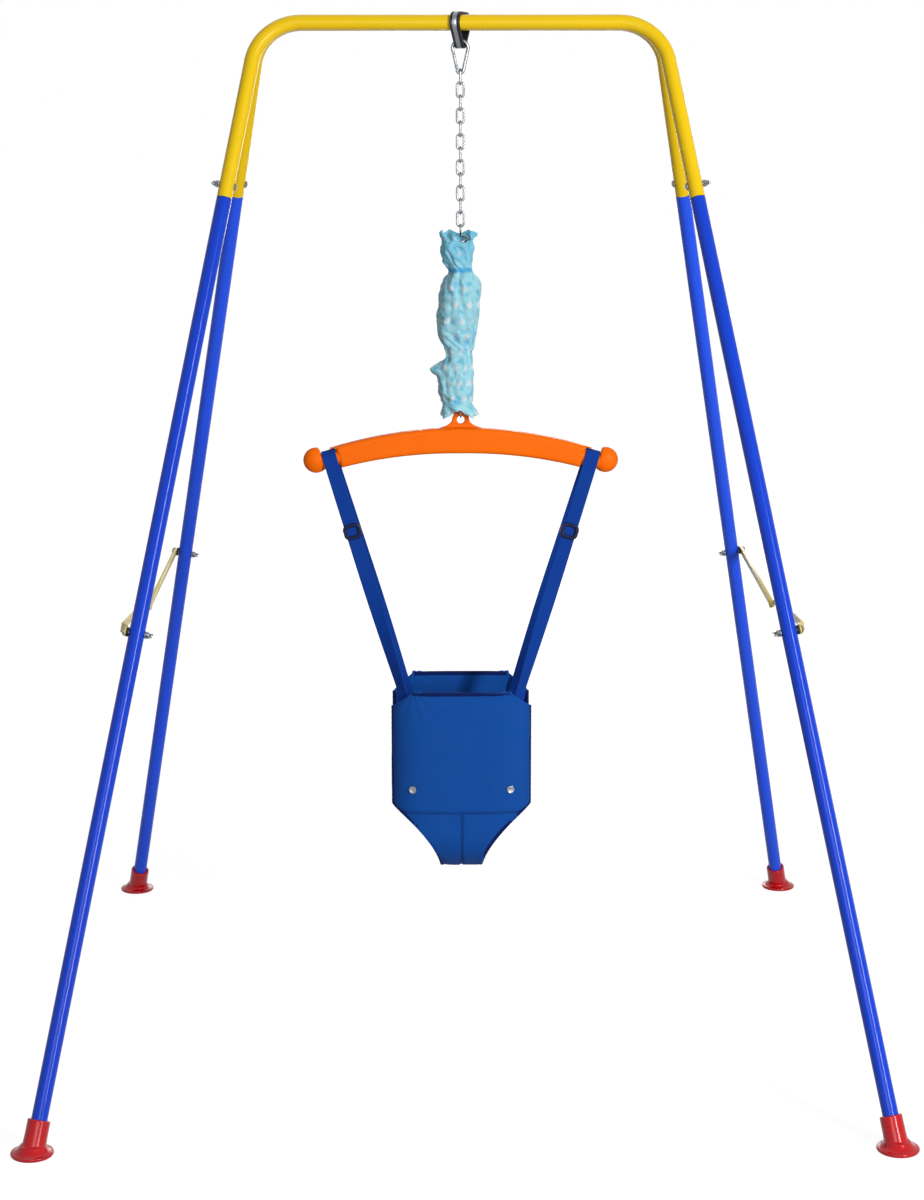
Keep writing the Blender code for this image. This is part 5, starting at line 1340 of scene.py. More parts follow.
def spring():
    start = math.pi / 2
    steps = round(SPRING_TURNS * 24)
    coil = []
    for i in range(steps + 1):
        angle = start - 2 * math.pi * SPRING_TURNS * i / steps
        place = (SPRING_RADIUS * math.cos(angle), SPRING_RADIUS * math.sin(angle))
        coil.append(Vector((*place, SPRING_BODY_TOP - SPRING_LENGTH * i / steps)))
    end = start - 2 * math.pi * SPRING_TURNS
    upper = spring_loop(start, SPRING_BODY_TOP, 1)
    lower = spring_loop(end, SPRING_BODY_TOP - SPRING_LENGTH, -1)
    mesh = wire([*reversed(upper), *coil, *lower], SPRING_WIRE_RADIUS, 12)
    mesh.materials.append(BRIGHT_STEEL)
    obj = linked("coil_spring", mesh)
    mesh.shade_smooth()
    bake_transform(obj)
    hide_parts("spring")
    return obj


RING_RADIUS = 0.0080
RING_WIRE_RADIUS = 0.0010
ring_low, ring_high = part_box("lug_ring")
ring_z = (ring_low.z + ring_high.z) / 2
ring_points = [Vector((0.0, y, z)) for y, z in arc(RING_RADIUS, (0.0, ring_z), 0, 2 * math.pi, 48)]
ring_mesh = wire(ring_points, RING_WIRE_RADIUS, 16, cyclic=True)
piece("steel_ring", ring_mesh, BRIGHT_STEEL, "ring", "lug_ring")
print("spring of", len(spring().data.polygons), "faces, ring at", round(ring_z, 4))

# %% [markdown]
# ## The spreader bar
#
# The bar is one moulding: an arched beam with rounded edges, a thinner lug that flares out of
# its top, and a neck and a ball at each end. The beam and the lug are flat outlines with a
# bevel. A voxel remesh fuses them with the turned ends, and a little smoothing rounds the
# corners where they meet, as a mould would.

# %% Spreader bar
BAR_ARC_RADIUS = 0.600
BAR_DEPTH = 0.0335
BAR_END_DEPTH = 0.0285
BAR_THICKNESS = 0.0215
BAR_EDGE = 0.0050
NOTCH_ALONG = 0.1712
NOTCH_WIDTH = 0.0206
NECK_RADIUS = 0.0102
NECK_INSIDE = 0.006
BALL_RADIUS = 0.0166
BALL_BEYOND_NOTCH = 0.0184
BALL_RISE = 0.0042
LUG_RADIUS = 0.0112
LUG_HOLE_RADIUS = 0.0050
LUG_THICKNESS = 0.0050
LUG_ABOVE_BAR = 0.0099
LUG_FLARE_HALF = 0.0300
LUG_FLARE = ((0.40, 0.72), (0.50, 0.45), (0.62, 0.22), (0.76, 0.07), (0.88, 0.0))
LIP_LENGTH = 0.0080
LIP_THICKNESS = 0.0014
LIP_DEPTH = 0.0110
BAR_VOXEL = 0.0009
LUG_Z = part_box("spreader_bar")[1].z - LUG_RADIUS
BAR_CENTRE_Z = LUG_Z - LUG_ABOVE_BAR - BAR_DEPTH / 2
BAR_HALF_ALONG = NOTCH_ALONG - NOTCH_WIDTH / 2
STAND_UP = Matrix.Rotation(math.pi / 2, 4, "X")


def bar_point(along, up):
    """A point of the arch, by its distance along the arc and above its middle."""
    angle = along / BAR_ARC_RADIUS
    reach = BAR_ARC_RADIUS + up
    return reach * math.sin(angle), BAR_CENTRE_Z - BAR_ARC_RADIUS + reach * math.cos(angle)


def half_depth(along):
    return (BAR_DEPTH + (BAR_END_DEPTH - BAR_DEPTH) * abs(along) / BAR_HALF_ALONG) / 2


def beam():
    steps = [BAR_HALF_ALONG * (i / 30 - 1) for i in range(61)]
    top = [bar_point(s, half_depth(s)) for s in steps]
    bottom = [bar_point(s, -half_depth(s)) for s in reversed(steps)]
    return plate([bottom + top], BAR_THICKNESS, STAND_UP, BAR_EDGE, 5)


def lug():
    """The eye and its flare, whose sides curve down into the beam."""
    eye = arc(LUG_RADIUS, (0.0, LUG_Z), math.radians(20), math.radians(140), 24)
    bar_top = BAR_CENTRE_Z + BAR_DEPTH / 2
    flare = [(x * LUG_FLARE_HALF, bar_top + up * LUG_ABOVE_BAR) for x, up in LUG_FLARE]
    flare.append((LUG_FLARE_HALF, BAR_CENTRE_Z + BAR_DEPTH * 0.25))
    right = [*reversed(flare), *eye]
    left = [(-x, z) for x, z in flare]
    hole = arc(LUG_HOLE_RADIUS, (0.0, LUG_Z), 0.0, 2 * math.pi, 40)
    return plate([right + left, hole], LUG_THICKNESS, STAND_UP, 0.0012, 3)


def bar_end(side):
    """The neck under the strap and the ball beyond it."""
    angle = side * NOTCH_ALONG / BAR_ARC_RADIUS
    start_x, start_z = bar_point(BAR_HALF_ALONG - NECK_INSIDE, 0.0)
    start = Vector((side * start_x, 0.0, start_z))
    x, z = bar_point(NOTCH_ALONG + BALL_BEYOND_NOTCH, BALL_RISE)
    ball_centre = Vector((side * x, 0.0, z))
    outward = Vector((side * math.cos(angle), 0.0, -abs(math.sin(angle))))
    length = NOTCH_WIDTH + 2 * NECK_INSIDE
    rod = [(0.0, length), (NECK_RADIUS, length), (NECK_RADIUS, 0.0), (0.0, 0.0)]
    neck = turned(rod, placed(start, outward, Y_AXIS), 40)
    work = bmesh.new()
    bmesh.ops.create_uvsphere(work, u_segments=48, v_segments=24, radius=BALL_RADIUS)
    depth = BAR_THICKNESS * 1.06 / (2 * BALL_RADIUS)
    bmesh.ops.scale(work, vec=Vector((1.0, depth, 1.0)), verts=work.verts)
    bmesh.ops.translate(work, vec=ball_centre, verts=work.verts)
    cut = bar_point(NOTCH_ALONG + NOTCH_WIDTH / 2, 0.0)
    geometry = work.verts[:] + work.edges[:] + work.faces[:]
    plane = {"plane_co": Vector((side * cut[0], 0.0, cut[1])), "plane_no": -outward}
    found = bmesh.ops.bisect_plane(work, geom=geometry, clear_outer=True, **plane)
    rim = [e for e in found["geom_cut"] if isinstance(e, bmesh.types.BMEdge)]
    bmesh.ops.holes_fill(work, edges=rim)
    bmesh.ops.recalc_face_normals(work, faces=work.faces)
    ball = finished(work, "ball")
    along = BAR_HALF_ALONG + LIP_LENGTH / 2 - BAR_EDGE
    lip_x, lip_z = bar_point(along, half_depth(BAR_HALF_ALONG) - LIP_THICKNESS / 2)
    tilt = Matrix.Rotation(side * along / BAR_ARC_RADIUS, 4, "Y")
    lip_size = (LIP_LENGTH + 2 * BAR_EDGE, LIP_DEPTH, LIP_THICKNESS)
    lip = block(lip_size, Matrix.Translation((side * lip_x, 0.0, lip_z)) @ tilt, 0.0004)
    return [neck, ball, lip]


def spreader_bar():
    mesh = fused([beam(), lug(), *bar_end(-1), *bar_end(1)], BAR_VOXEL, 3, 0.6)
    return piece("moulded_bar", mesh, BAR_ORANGE, "spreader", "spreader_bar", 60)


print("bar of", len(spreader_bar().data.polygons), "faces")

# %% [markdown]
# ## Where the harness is
#
# The harness is a tub of two cloth panels, seen from above as a rounded rectangle. A panel's
# surface is a rule: a row gives its half width, its depth and its height, and a share from -1 to
# 1 gives the place across it. The same rule places the panel, its seams, its binding and its
# stitches, so they always lie on each other.

# %% Harness sizes and surface
HARNESS_HALF_WIDTH = 0.0912
HARNESS_SECTION_HALF = 0.0953
HARNESS_HALF_DEPTH = 0.0660
HARNESS_POWER = 4.0
HARNESS_CLOTH = 0.0034
HARNESS_TOP_HALF = 0.0630
HARNESS_SHOULDER = 0.0215
HARNESS_LEG_CUT = 0.0935
CROTCH_HALF_WIDTH = 0.0275
CROTCH_TURN = 0.36
LEG_CUT_POWER = 2.0
SEAM_GAP = 0.0016
HARNESS_TOP_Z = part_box("harness_front")[1].z
HARNESS_LOW_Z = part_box("harness_front")[0].z
SIDE_END_Z = HARNESS_LOW_Z + HARNESS_LEG_CUT


def section_y(x):
    """The tub's half depth at a distance from its middle."""
    share = min(abs(x) / HARNESS_SECTION_HALF, 1.0) ** HARNESS_POWER
    return HARNESS_HALF_DEPTH * (1.0 - share) ** (1.0 / HARNESS_POWER)


def panel_row(station):
    """Half width, depth and height: 0 is the top edge, 1 the side's end, 2 the crotch."""
    if station <= 1.0:
        height = HARNESS_TOP_Z + (SIDE_END_Z - HARNESS_TOP_Z) * station
        shoulder = min(1.0, (HARNESS_TOP_Z - height) / HARNESS_SHOULDER)
        half = HARNESS_TOP_HALF + (HARNESS_HALF_WIDTH - HARNESS_TOP_HALF) * shoulder
        return half, HARNESS_HALF_DEPTH, height
    fall = math.sin(math.pi / 2 * (station - 1.0))
    spread = HARNESS_HALF_WIDTH - CROTCH_HALF_WIDTH
    half = CROTCH_HALF_WIDTH + spread * (1 - fall) ** LEG_CUT_POWER
    under = max(0.0, (fall - CROTCH_TURN) / (1.0 - CROTCH_TURN))
    depth = HARNESS_HALF_DEPTH * math.sqrt(max(0.0, 1.0 - under**2))
    return half, depth, SIDE_END_Z - HARNESS_LEG_CUT * fall


def panel_point(face, share, station):
    """A point on the outer side of a panel."""
    half, depth, height = panel_row(station)
    x = half * share
    y = max(depth * section_y(x) / HARNESS_HALF_DEPTH, SEAM_GAP / 2)
    return Vector((x, face * y, height))


def panel_frame(face, share, station, step=0.01):
    """The point with its directions across, down and out of the cloth."""
    point = panel_point(face, share, station)
    before = panel_point(face, max(-1.0, share - step), station)
    after = panel_point(face, min(1.0, share + step), station)
    above = panel_point(face, share, max(0.0, station - step))
    below = panel_point(face, share, min(2.0, station + step))
    across = (after - before).normalized()
    down = (below - above).normalized()
    out = across.cross(down).normalized()
    return point, across, down, out if out.y * face > 0 or out.z < -0.9 else -out


print(f"harness from {HARNESS_TOP_Z:.4f} to {HARNESS_LOW_Z:.4f} m, sides end at {SIDE_END_Z:.4f}")

# %% [markdown]
# ## The panels
#
# Each panel is a dense sheet over that surface. Its height map is added along the outward
# direction: a slow crown from the padding, creases that run from the strap ends and the leg
# cuts, and narrow valleys where the seams pull the cloth in. Solidify gives the wall. Wrinkles
# come from fixed noise, so every run gives the same cloth.

# %% Panels
PANEL_COLUMNS = 120
PANEL_UPPER_ROWS = 88
PANEL_LOWER_ROWS = 64
SEAM_STATION = 1.052
SEAM_WIDTH = 0.0020
SEAM_DEPTH = 0.0013
CROWN = 0.0016
CROWN_FALL = 1.6
CROWN_FADE = 0.4
UV_SIDE_END = 0.13


def valley(distance):
    """How deep a seam pulls the cloth in at a distance from it."""
    return math.exp(-((distance / SEAM_WIDTH) ** 2))


def crown(share, station, height):
    """The swell of the padding, which dies out at the panel's edges."""
    low_end = 1.0 - max(0.0, station - CROWN_FALL) / CROWN_FADE
    return height * (1 - share**4) * min(1.0, station * 8.0) * low_end


def creases(point, share, station, seed):
    """Wrinkles: soft ones everywhere, sharper ones near the straps and the leg cuts."""
    spot = Vector((point.x, point.z, seed))
    soft = noise.noise(spot * 26.0) * 0.0006 + noise.noise(spot * 60.0) * 0.00025
    pull = 0.0
    for end in (-1, 1):
        dx = point.x - end * HARNESS_TOP_HALF
        dz = point.z - HARNESS_TOP_Z
        reach = math.hypot(dx, dz)
        bearing = math.atan2(dx * end, -dz)
        pull += math.sin(bearing * 11.0 + reach * 20.0) * math.exp(-reach / 0.030) * 0.0007
    low = max(0.0, station - 1.0)
    fold = math.sin(abs(point.x) * 190.0 - point.z * 160.0 + noise.noise(spot * 15.0) * 2.0)
    near_cut = math.exp(-((1.0 - abs(share)) / 0.35) ** 2) * min(1.0, low * 5.0)
    return soft + pull + fold * near_cut * 0.0006


def panel_mesh(face):
    work = bmesh.new()
    uv = work.loops.layers.uv.new("metres")
    stations = [i / PANEL_UPPER_ROWS for i in range(PANEL_UPPER_ROWS)]
    stations += [1.0 + i / PANEL_LOWER_ROWS for i in range(PANEL_LOWER_ROWS + 1)]
    shares = [math.sin(math.pi / 2 * (2 * c / PANEL_COLUMNS - 1)) for c in range(PANEL_COLUMNS + 1)]
    rows, flats = [], {}
    for station in stations:
        row = []
        for share in shares:
            point, _, _, out = panel_frame(face, share, station)
            half, _, height = panel_row(station)
            lift = crown(share, station, CROWN) + creases(point, share, station, 3.0 * face)
            off_seam = (station - SEAM_STATION) * math.pi / 2 * HARNESS_LEG_CUT
            lift -= SEAM_DEPTH * valley(off_seam)
            if station > SEAM_STATION:
                lift -= SEAM_DEPTH * valley(point.x)
            lift *= min(1.0, (2.0 - station) * 12.0)
            vert = work.verts.new(point + out * lift)
            above = UV_SIDE_END + height - SIDE_END_Z
            flats[vert] = (half * share, (2.0 - station) * UV_SIDE_END if station > 1 else above)
            row.append(vert)
        rows.append(row)
    for upper, lower in zip(rows, rows[1:]):
        for c in range(PANEL_COLUMNS):
            corners = (upper[c], lower[c], lower[c + 1], upper[c + 1])
            made = work.faces.new(corners if face < 0 else tuple(reversed(corners)))
            for loop in made.loops:
                loop[uv].uv = flats[loop.vert]
    wall = {"thickness": HARNESS_CLOTH, "offset": -1.0, "use_even_offset": False}
    return reshaped(finished(work, "panel"), ("SOLIDIFY", wall))


def panel(face):
    name, node = f"padded_panel_{FACES[face]}", f"harness_{FACES[face]}"
    obj = piece(name, panel_mesh(face), PANEL_CLOTH, "harness", node, 70)
    return obj


for face in FACES:
    print(panel(face).name, "made")

# %% [markdown]
# ## Binding
#
# The cut edges of a panel are wrapped in a folded tape. Its section is a flat oval that takes in
# the cloth, and it follows the edge from one end of the crotch, up a leg cut, over the top and
# down again.

# %% Binding tape
TAPE_HALF_WIDTH = 0.0029
TAPE_HALF_THICKNESS = 0.0024
TAPE_POINTS = 16
TAPE_SQUARENESS = 0.7
TAPE_END = 1.94
TAPE_UV_STEP = 0.001
TAPE_BEYOND = 0.0006
CROTCH_TAPE_HALF_WIDTH = 0.0050


def edge_runs():
    """Runs of (share, station) pairs: up one leg cut, along the top, down the other."""
    shoulder = HARNESS_SHOULDER / (HARNESS_TOP_Z - SIDE_END_Z)
    side = [TAPE_END - (TAPE_END - shoulder) * i / 150 for i in range(151)]
    top = [(-1.0 + 2.0 * i / 60, 0.0) for i in range(61)]
    return [[(-1.0, station) for station in side], top, [(1.0, station) for station in side]]


def skinned(work, uv, rings, place_in_uv):
    """Faces between closed rings of points, and over the first and the last ring."""
    for i, (ring, after) in enumerate(zip(rings, rings[1:])):
        for k in range(len(ring)):
            j = (k + 1) % len(ring)
            made = work.faces.new((ring[k], ring[j], after[j], after[k]))
            spots = ((k, i), (k + 1, i), (k + 1, i + 1), (k, i + 1))
            for loop, (across_step, along_step) in zip(made.loops, spots):
                loop[uv].uv = place_in_uv(loop.vert.co, across_step, along_step)
    work.faces.new(rings[0])
    work.faces.new(tuple(reversed(rings[-1])))
    bmesh.ops.recalc_face_normals(work, faces=work.faces)


def tape_mesh(frames, half_width, half_thickness):
    """A flat oval swept along (centre, wide, thin) frames, with its ends closed."""
    work = bmesh.new()
    uv = work.loops.layers.uv.new("metres")
    rings, lengths, run = [], [], 0.0
    for i, (centre, wide, thin) in enumerate(frames):
        run += (centre - frames[max(0, i - 1)][0]).length
        lengths.append(run)
        pucker = 1.0 + 0.05 * math.sin(run * 900.0)
        ring = []
        for k in range(TAPE_POINTS):
            turn = 2 * math.pi * k / TAPE_POINTS
            u = squared(math.cos(turn), TAPE_SQUARENESS) * half_width
            v = squared(math.sin(turn), TAPE_SQUARENESS) * half_thickness
            ring.append(work.verts.new(centre + wide * u + thin * (v * pucker)))
        rings.append(ring)
    skinned(work, uv, rings, lambda point, k, i: (k * TAPE_UV_STEP, lengths[i]))
    return finished(work, "tape")


def edge_tape(face, run):
    path = [panel_frame(face, share, station) for share, station in run]
    middle = Vector((0.0, 0.0, (HARNESS_TOP_Z + SIDE_END_Z) / 2))
    frames = []
    for i, (point, across, down, out) in enumerate(path):
        before = path[max(0, i - 1)][0]
        after = path[min(len(path) - 1, i + 1)][0]
        inward = out.cross((after - before).normalized()).normalized()
        if inward.dot(Vector((-point.x, 0.0, middle.z - point.z))) < 0:
            inward = -inward
        centre = point - out * (HARNESS_CLOTH / 2) + inward * (TAPE_HALF_WIDTH - TAPE_BEYOND)
        frames.append((centre, inward, out))
    return tape_mesh(frames, TAPE_HALF_WIDTH, TAPE_HALF_THICKNESS)


def crotch_tape():
    """The tape over the joint of the two panels, between the legs."""
    low = HARNESS_LOW_Z + TAPE_HALF_THICKNESS - 0.0008
    half = CROTCH_HALF_WIDTH + 0.0004
    frames = [(Vector((half * (i / 20 - 1), 0.0, low)), Y_AXIS, Z_AXIS) for i in range(41)]
    return tape_mesh(frames, CROTCH_TAPE_HALF_WIDTH, TAPE_HALF_THICKNESS)


for face in FACES:
    mesh = joined(*(edge_tape(face, run) for run in edge_runs()))
    made = piece(f"binding_{FACES[face]}", mesh, BINDING_CLOTH, "harness", (), 70)
    print(made.name, len(mesh.polygons), "faces")
piece("binding_crotch", crotch_tape(), BINDING_CLOTH, "harness", (), 70)

# %% [markdown]
# ## Side bands and press studs
#
# A band runs from each side of the back panel round behind the front panel, where a press stud
# holds it. A band is a padded strip, and its section is a flat oval with squared-off corners. A
# stud is a turned cap with a rim and a shallow dish.

# %% Side bands and studs
WING_TOP_UP = 0.0560
WING_BOTTOM_UP = 0.0070
WING_FRONT_REACH = 0.0500
WING_INSET = 0.0050
WING_STEP_IN = 0.42
WING_STEPS = 60
WING_POINTS = 28
WING_SQUARENESS = (0.35, 0.6)


def wing_place(side, share, height):
    """A point of a band: 0 is the back panel's edge, 1 its end in front."""
    power = HARNESS_POWER / 2.0
    back = math.pi - math.asin((HARNESS_HALF_WIDTH / HARNESS_SECTION_HALF) ** power)
    front = math.asin((WING_FRONT_REACH / HARNESS_SECTION_HALF) ** power)
    theta = back + (front - back) * share
    inset = WING_INSET * min(1.0, share / WING_STEP_IN)
    x = (HARNESS_SECTION_HALF - inset) * abs(math.sin(theta)) ** (2.0 / HARNESS_POWER)
    flat = squared(math.cos(theta), 2.0 / HARNESS_POWER)
    return Vector((side * x, -(HARNESS_HALF_DEPTH - inset) * flat, height))


def side_band(side):
    """A padded strip: its section is a flat oval that is swept round the side."""
    high, low = SIDE_END_Z + WING_TOP_UP, SIDE_END_Z + WING_BOTTOM_UP
    middle, half = (high + low) / 2, (high - low) / 2
    work = bmesh.new()
    uv = work.loops.layers.uv.new("metres")
    rings = []
    for step in range(WING_STEPS + 1):
        share = step / WING_STEPS
        point = wing_place(side, share, middle)
        ahead = wing_place(side, min(1.0, share + 0.01), middle)
        behind = wing_place(side, max(0.0, share - 0.01), middle)
        along = (ahead - behind).normalized()
        out = along.cross(Z_AXIS).normalized()
        if out.dot(Vector((point.x, point.y, 0.0))) < 0:
            out = -out
        taper = 1.0 - 0.10 * max(0.0, share - 0.85) / 0.15
        ring = []
        for k in range(WING_POINTS):
            turn = 2 * math.pi * k / WING_POINTS
            u = squared(math.cos(turn), WING_SQUARENESS[0]) * half * taper
            v = squared(math.sin(turn), WING_SQUARENESS[1]) * HARNESS_CLOTH / 2
            ring.append(work.verts.new(point - out * (HARNESS_CLOTH / 2) + Z_AXIS * u + out * v))
        rings.append(ring)
    skinned(work, uv, rings, lambda point, k, i: (point.z, point.y))
    mesh = finished(work, "side band")
    obj = piece(f"side_band_{SIDES[side]}", mesh, BAND_CLOTH, "harness", (), 60)
    return obj


def stud(side):
    """The cap of a press stud on the front panel."""
    tail = SIDES[side]
    low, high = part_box(f"snap_{tail}")
    seat = (low + high) / 2
    seat.y = high.y
    seat.x = side * max(abs(low.x), abs(high.x)) - side * (high.x - low.x) / 2
    radius, height = 0.0056, 0.0026
    profile = [(0.0, height * 0.62), (radius * 0.35, height * 0.66), (radius * 0.55, height * 0.80)]
    profile += [(radius * 0.72, height), (radius * 0.86, height * 0.92)]
    profile += [(radius * 0.97, height * 0.5), (radius, 0.0)]
    profile += [(radius * 0.9, -0.001), (0.0, -0.001)]
    share = abs(seat.x) / HARNESS_HALF_WIDTH
    station = (HARNESS_TOP_Z - seat.z) / (HARNESS_TOP_Z - SIDE_END_Z)
    point, _, _, out = panel_frame(-1, side * share, station)
    mesh = turned(profile, placed(point + out * (CROWN * 0.75 - 0.0003), out, Z_AXIS), 40)
    return piece(f"stud_{tail}", mesh, BRIGHT_STEEL, "harness", f"snap_{tail}", 45)


for side in SIDES:
    print(side_band(side).name, stud(side).name)

# %% [markdown]
# ## Straps
#
# A strap is one length of webbing: up from the front panel, once over the bar's neck, and down
# to the back panel. It is modelled directly, because a simulation would lose its flat weave. Its
# line is straight runs and half a turn. The corners are eased by averaging neighbouring points,
# and each station carries the direction across the webbing, so that it twists where it meets
# the panel.

# %% Straps
WEBBING_THICKNESS = 0.0014
STRAP_PLAY = 0.0007
STRAP_TUCK = 0.0300
STRAP_FOOT_HALF_X = 0.0825
STRAP_SEAT_GAP = 0.0027
STRAP_SEAT_SHARE = 0.88
STRAP_KNEE_ABOVE = 0.0030
STRAP_FLAT_RUN = 0.1460
STRAP_STEP = 0.0030
WEBBING_CUP = 0.00025
NOTCH_X, NOTCH_Z = bar_point(NOTCH_ALONG, 0.0)
STRAP_WRAP = NECK_RADIUS + STRAP_PLAY + WEBBING_THICKNESS / 2


def strap_seat(x):
    """Where a strap lies behind a panel, and its direction across."""
    reach = STRAP_SEAT_SHARE * WEBBING_WIDTH / 2
    inner = Vector((x - reach, section_y(x - reach), 0.0))
    outer = Vector((x + reach, section_y(x + reach), 0.0))
    across = (outer - inner).normalized()
    behind = HARNESS_CLOTH + WEBBING_THICKNESS / 2 + STRAP_SEAT_GAP
    return (inner + outer) / 2 + Vector((across.y, -across.x, 0.0)) * behind, across


def strap_axes(side):
    centre = Vector((side * NOTCH_X, 0.0, NOTCH_Z))
    lean = math.atan2(NOTCH_X - STRAP_FOOT_HALF_X, NOTCH_Z - HARNESS_TOP_Z)
    down = Vector((-side * math.sin(lean), 0.0, -math.cos(lean)))
    return centre, down, Vector((math.cos(lean), 0.0, -side * math.sin(lean)))


def strap_foot(side, face, height):
    centre, down, _ = strap_axes(side)
    on_line = centre + down * ((centre.z - height) / -down.z)
    seat, along = strap_seat(abs(on_line.x))
    across = Vector((along.x, side * face * along.y, 0.0))
    return Vector((side * seat.x, face * seat.y, height)), across


def strap_leave(side):
    """The angle at which the front run leaves the wrap."""
    centre, down, _ = strap_axes(side)
    end = strap_foot(side, -1, HARNESS_TOP_Z + STRAP_KNEE_ABOVE)[0] - centre
    below, forward = end.dot(down), -end.y
    return -(math.atan2(below, forward) - math.acos(STRAP_WRAP / math.hypot(below, forward)))


def wrap_point(side, angle):
    centre, down, _ = strap_axes(side)
    return centre - (Y_AXIS * math.cos(angle) + down * math.sin(angle)) * STRAP_WRAP


def front_run(side):
    """Where the straight front run starts, and its direction."""
    start = wrap_point(side, strap_leave(side))
    knee = strap_foot(side, -1, HARNESS_TOP_Z + STRAP_KNEE_ABOVE)[0]
    return start, (knee - start).normalized()


def strap_stations(side):
    """(point, across) pairs every few millimetres along a strap."""
    leave = strap_leave(side)
    sweep = math.pi - 2 * leave
    _, _, across = strap_axes(side)
    wrap = [(wrap_point(side, leave + sweep * i / 16), across) for i in range(17)]
    top, along = front_run(side)
    low = top + along * STRAP_FLAT_RUN
    heights = (HARNESS_TOP_Z - STRAP_TUCK, HARNESS_TOP_Z + STRAP_KNEE_ABOVE)
    front = [strap_foot(side, -1, height) for height in heights]
    back = [strap_foot(side, 1, height) for height in reversed(heights)]
    corners = [*front, (low, across), *wrap, (Vector((low.x, -low.y, low.z)), across), *back]
    stations = []
    for (a, wide_a), (b, wide_b) in zip(corners, corners[1:]):
        steps = max(1, round((b - a).length / STRAP_STEP))
        for i in range(steps):
            share = i / steps
            stations.append((a.lerp(b, share), wide_a.lerp(wide_b, share).normalized()))
    stations.append(corners[-1])
    for _ in range(3):
        for i in range(1, len(stations) - 1):
            near = (stations[i - 1][0] + stations[i + 1][0]) / 2
            if abs(stations[i][0].z - HARNESS_TOP_Z) < 0.012:
                stations[i] = (stations[i][0].lerp(near, 0.5), stations[i][1])
    return stations


def webbing_mesh(stations, width, thickness):
    """A flat band with rounded edges along the stations."""
    flat, edge = (width - thickness) / 2, width / 2 - thickness * 0.15
    upper = [((-1.0 + 2.0 * k / 12) * flat, thickness / 2) for k in range(13)]
    upper += [(edge, thickness * 0.3), (width / 2, 0.0), (edge, -thickness * 0.3)]
    section = upper + [(-u, -v) for u, v in upper]
    work = bmesh.new()
    uv = work.loops.layers.uv.new("metres")
    rings, run, lengths = [], 0.0, []
    for i, (point, across) in enumerate(stations):
        before = stations[max(0, i - 1)][0]
        after = stations[min(len(stations) - 1, i + 1)][0]
        along = (after - before).normalized()
        normal = along.cross(across).normalized()
        run += (point - before).length
        lengths.append(run)
        ring = []
        for u, v in section:
            cup = -WEBBING_CUP * (2 * u / width) ** 2
            ring.append(work.verts.new(point + across * u + normal * (v + cup)))
        rings.append(ring)
    skinned(work, uv, rings, lambda point, k, i: (section[k % len(section)][0], lengths[i]))
    return finished(work, "webbing"), run


STRAPS = {}
for side in SIDES:
    mesh, length = webbing_mesh(strap_stations(side), WEBBING_WIDTH, WEBBING_THICKNESS)
    node = f"strap_{SIDES[side]}"
    obj = piece(f"webbing_{SIDES[side]}", mesh, WEBBING, "harness", node, 60)
    STRAPS[side] = obj
    print(obj.name, f"is {length:.3f} m long")

# %% [markdown]
# ## Slide buckles
#
# A slide buckle sets a strap's length. The webbing passes behind its two outer bars and in front
# of its middle one. In front of the webbing it is a rounded loop: a wire along an oval with a
# squared-off outline, pressed flat. Two rails beside the webbing and a middle bar behind it are
# rounded blocks. All of them run into each other, as in one moulding.

# %% Buckles
BUCKLE_WIDTH = 0.0234
BUCKLE_HEIGHT = 0.0210
BUCKLE_LOOP_BAR = 0.0050
BUCKLE_MIDDLE_BAR = 0.0038
BUCKLE_BAR_THICKNESS = 0.0022
BUCKLE_PLAY = 0.0004
BUCKLE_ALONG = 0.0980
BUCKLE_EDGE = 0.0010
BUCKLE_SQUARENESS = 0.55
BUCKLE_STEPS = 56


def buckle_loop():
    """The rounded front loop, flat, round the origin."""
    half_x = (BUCKLE_WIDTH - BUCKLE_LOOP_BAR) / 2
    half_y = (BUCKLE_HEIGHT - BUCKLE_LOOP_BAR) / 2
    points = []
    for i in range(BUCKLE_STEPS):
        turn = 2 * math.pi * i / BUCKLE_STEPS
        x = half_x * squared(math.cos(turn), BUCKLE_SQUARENESS)
        y = half_y * squared(math.sin(turn), BUCKLE_SQUARENESS)
        points.append(Vector((x, y, 0.0)))
    mesh = wire(points, BUCKLE_LOOP_BAR / 2, 16, cyclic=True)
    mesh.transform(Matrix.Diagonal((1.0, 1.0, BUCKLE_BAR_THICKNESS / BUCKLE_LOOP_BAR, 1.0)))
    return mesh


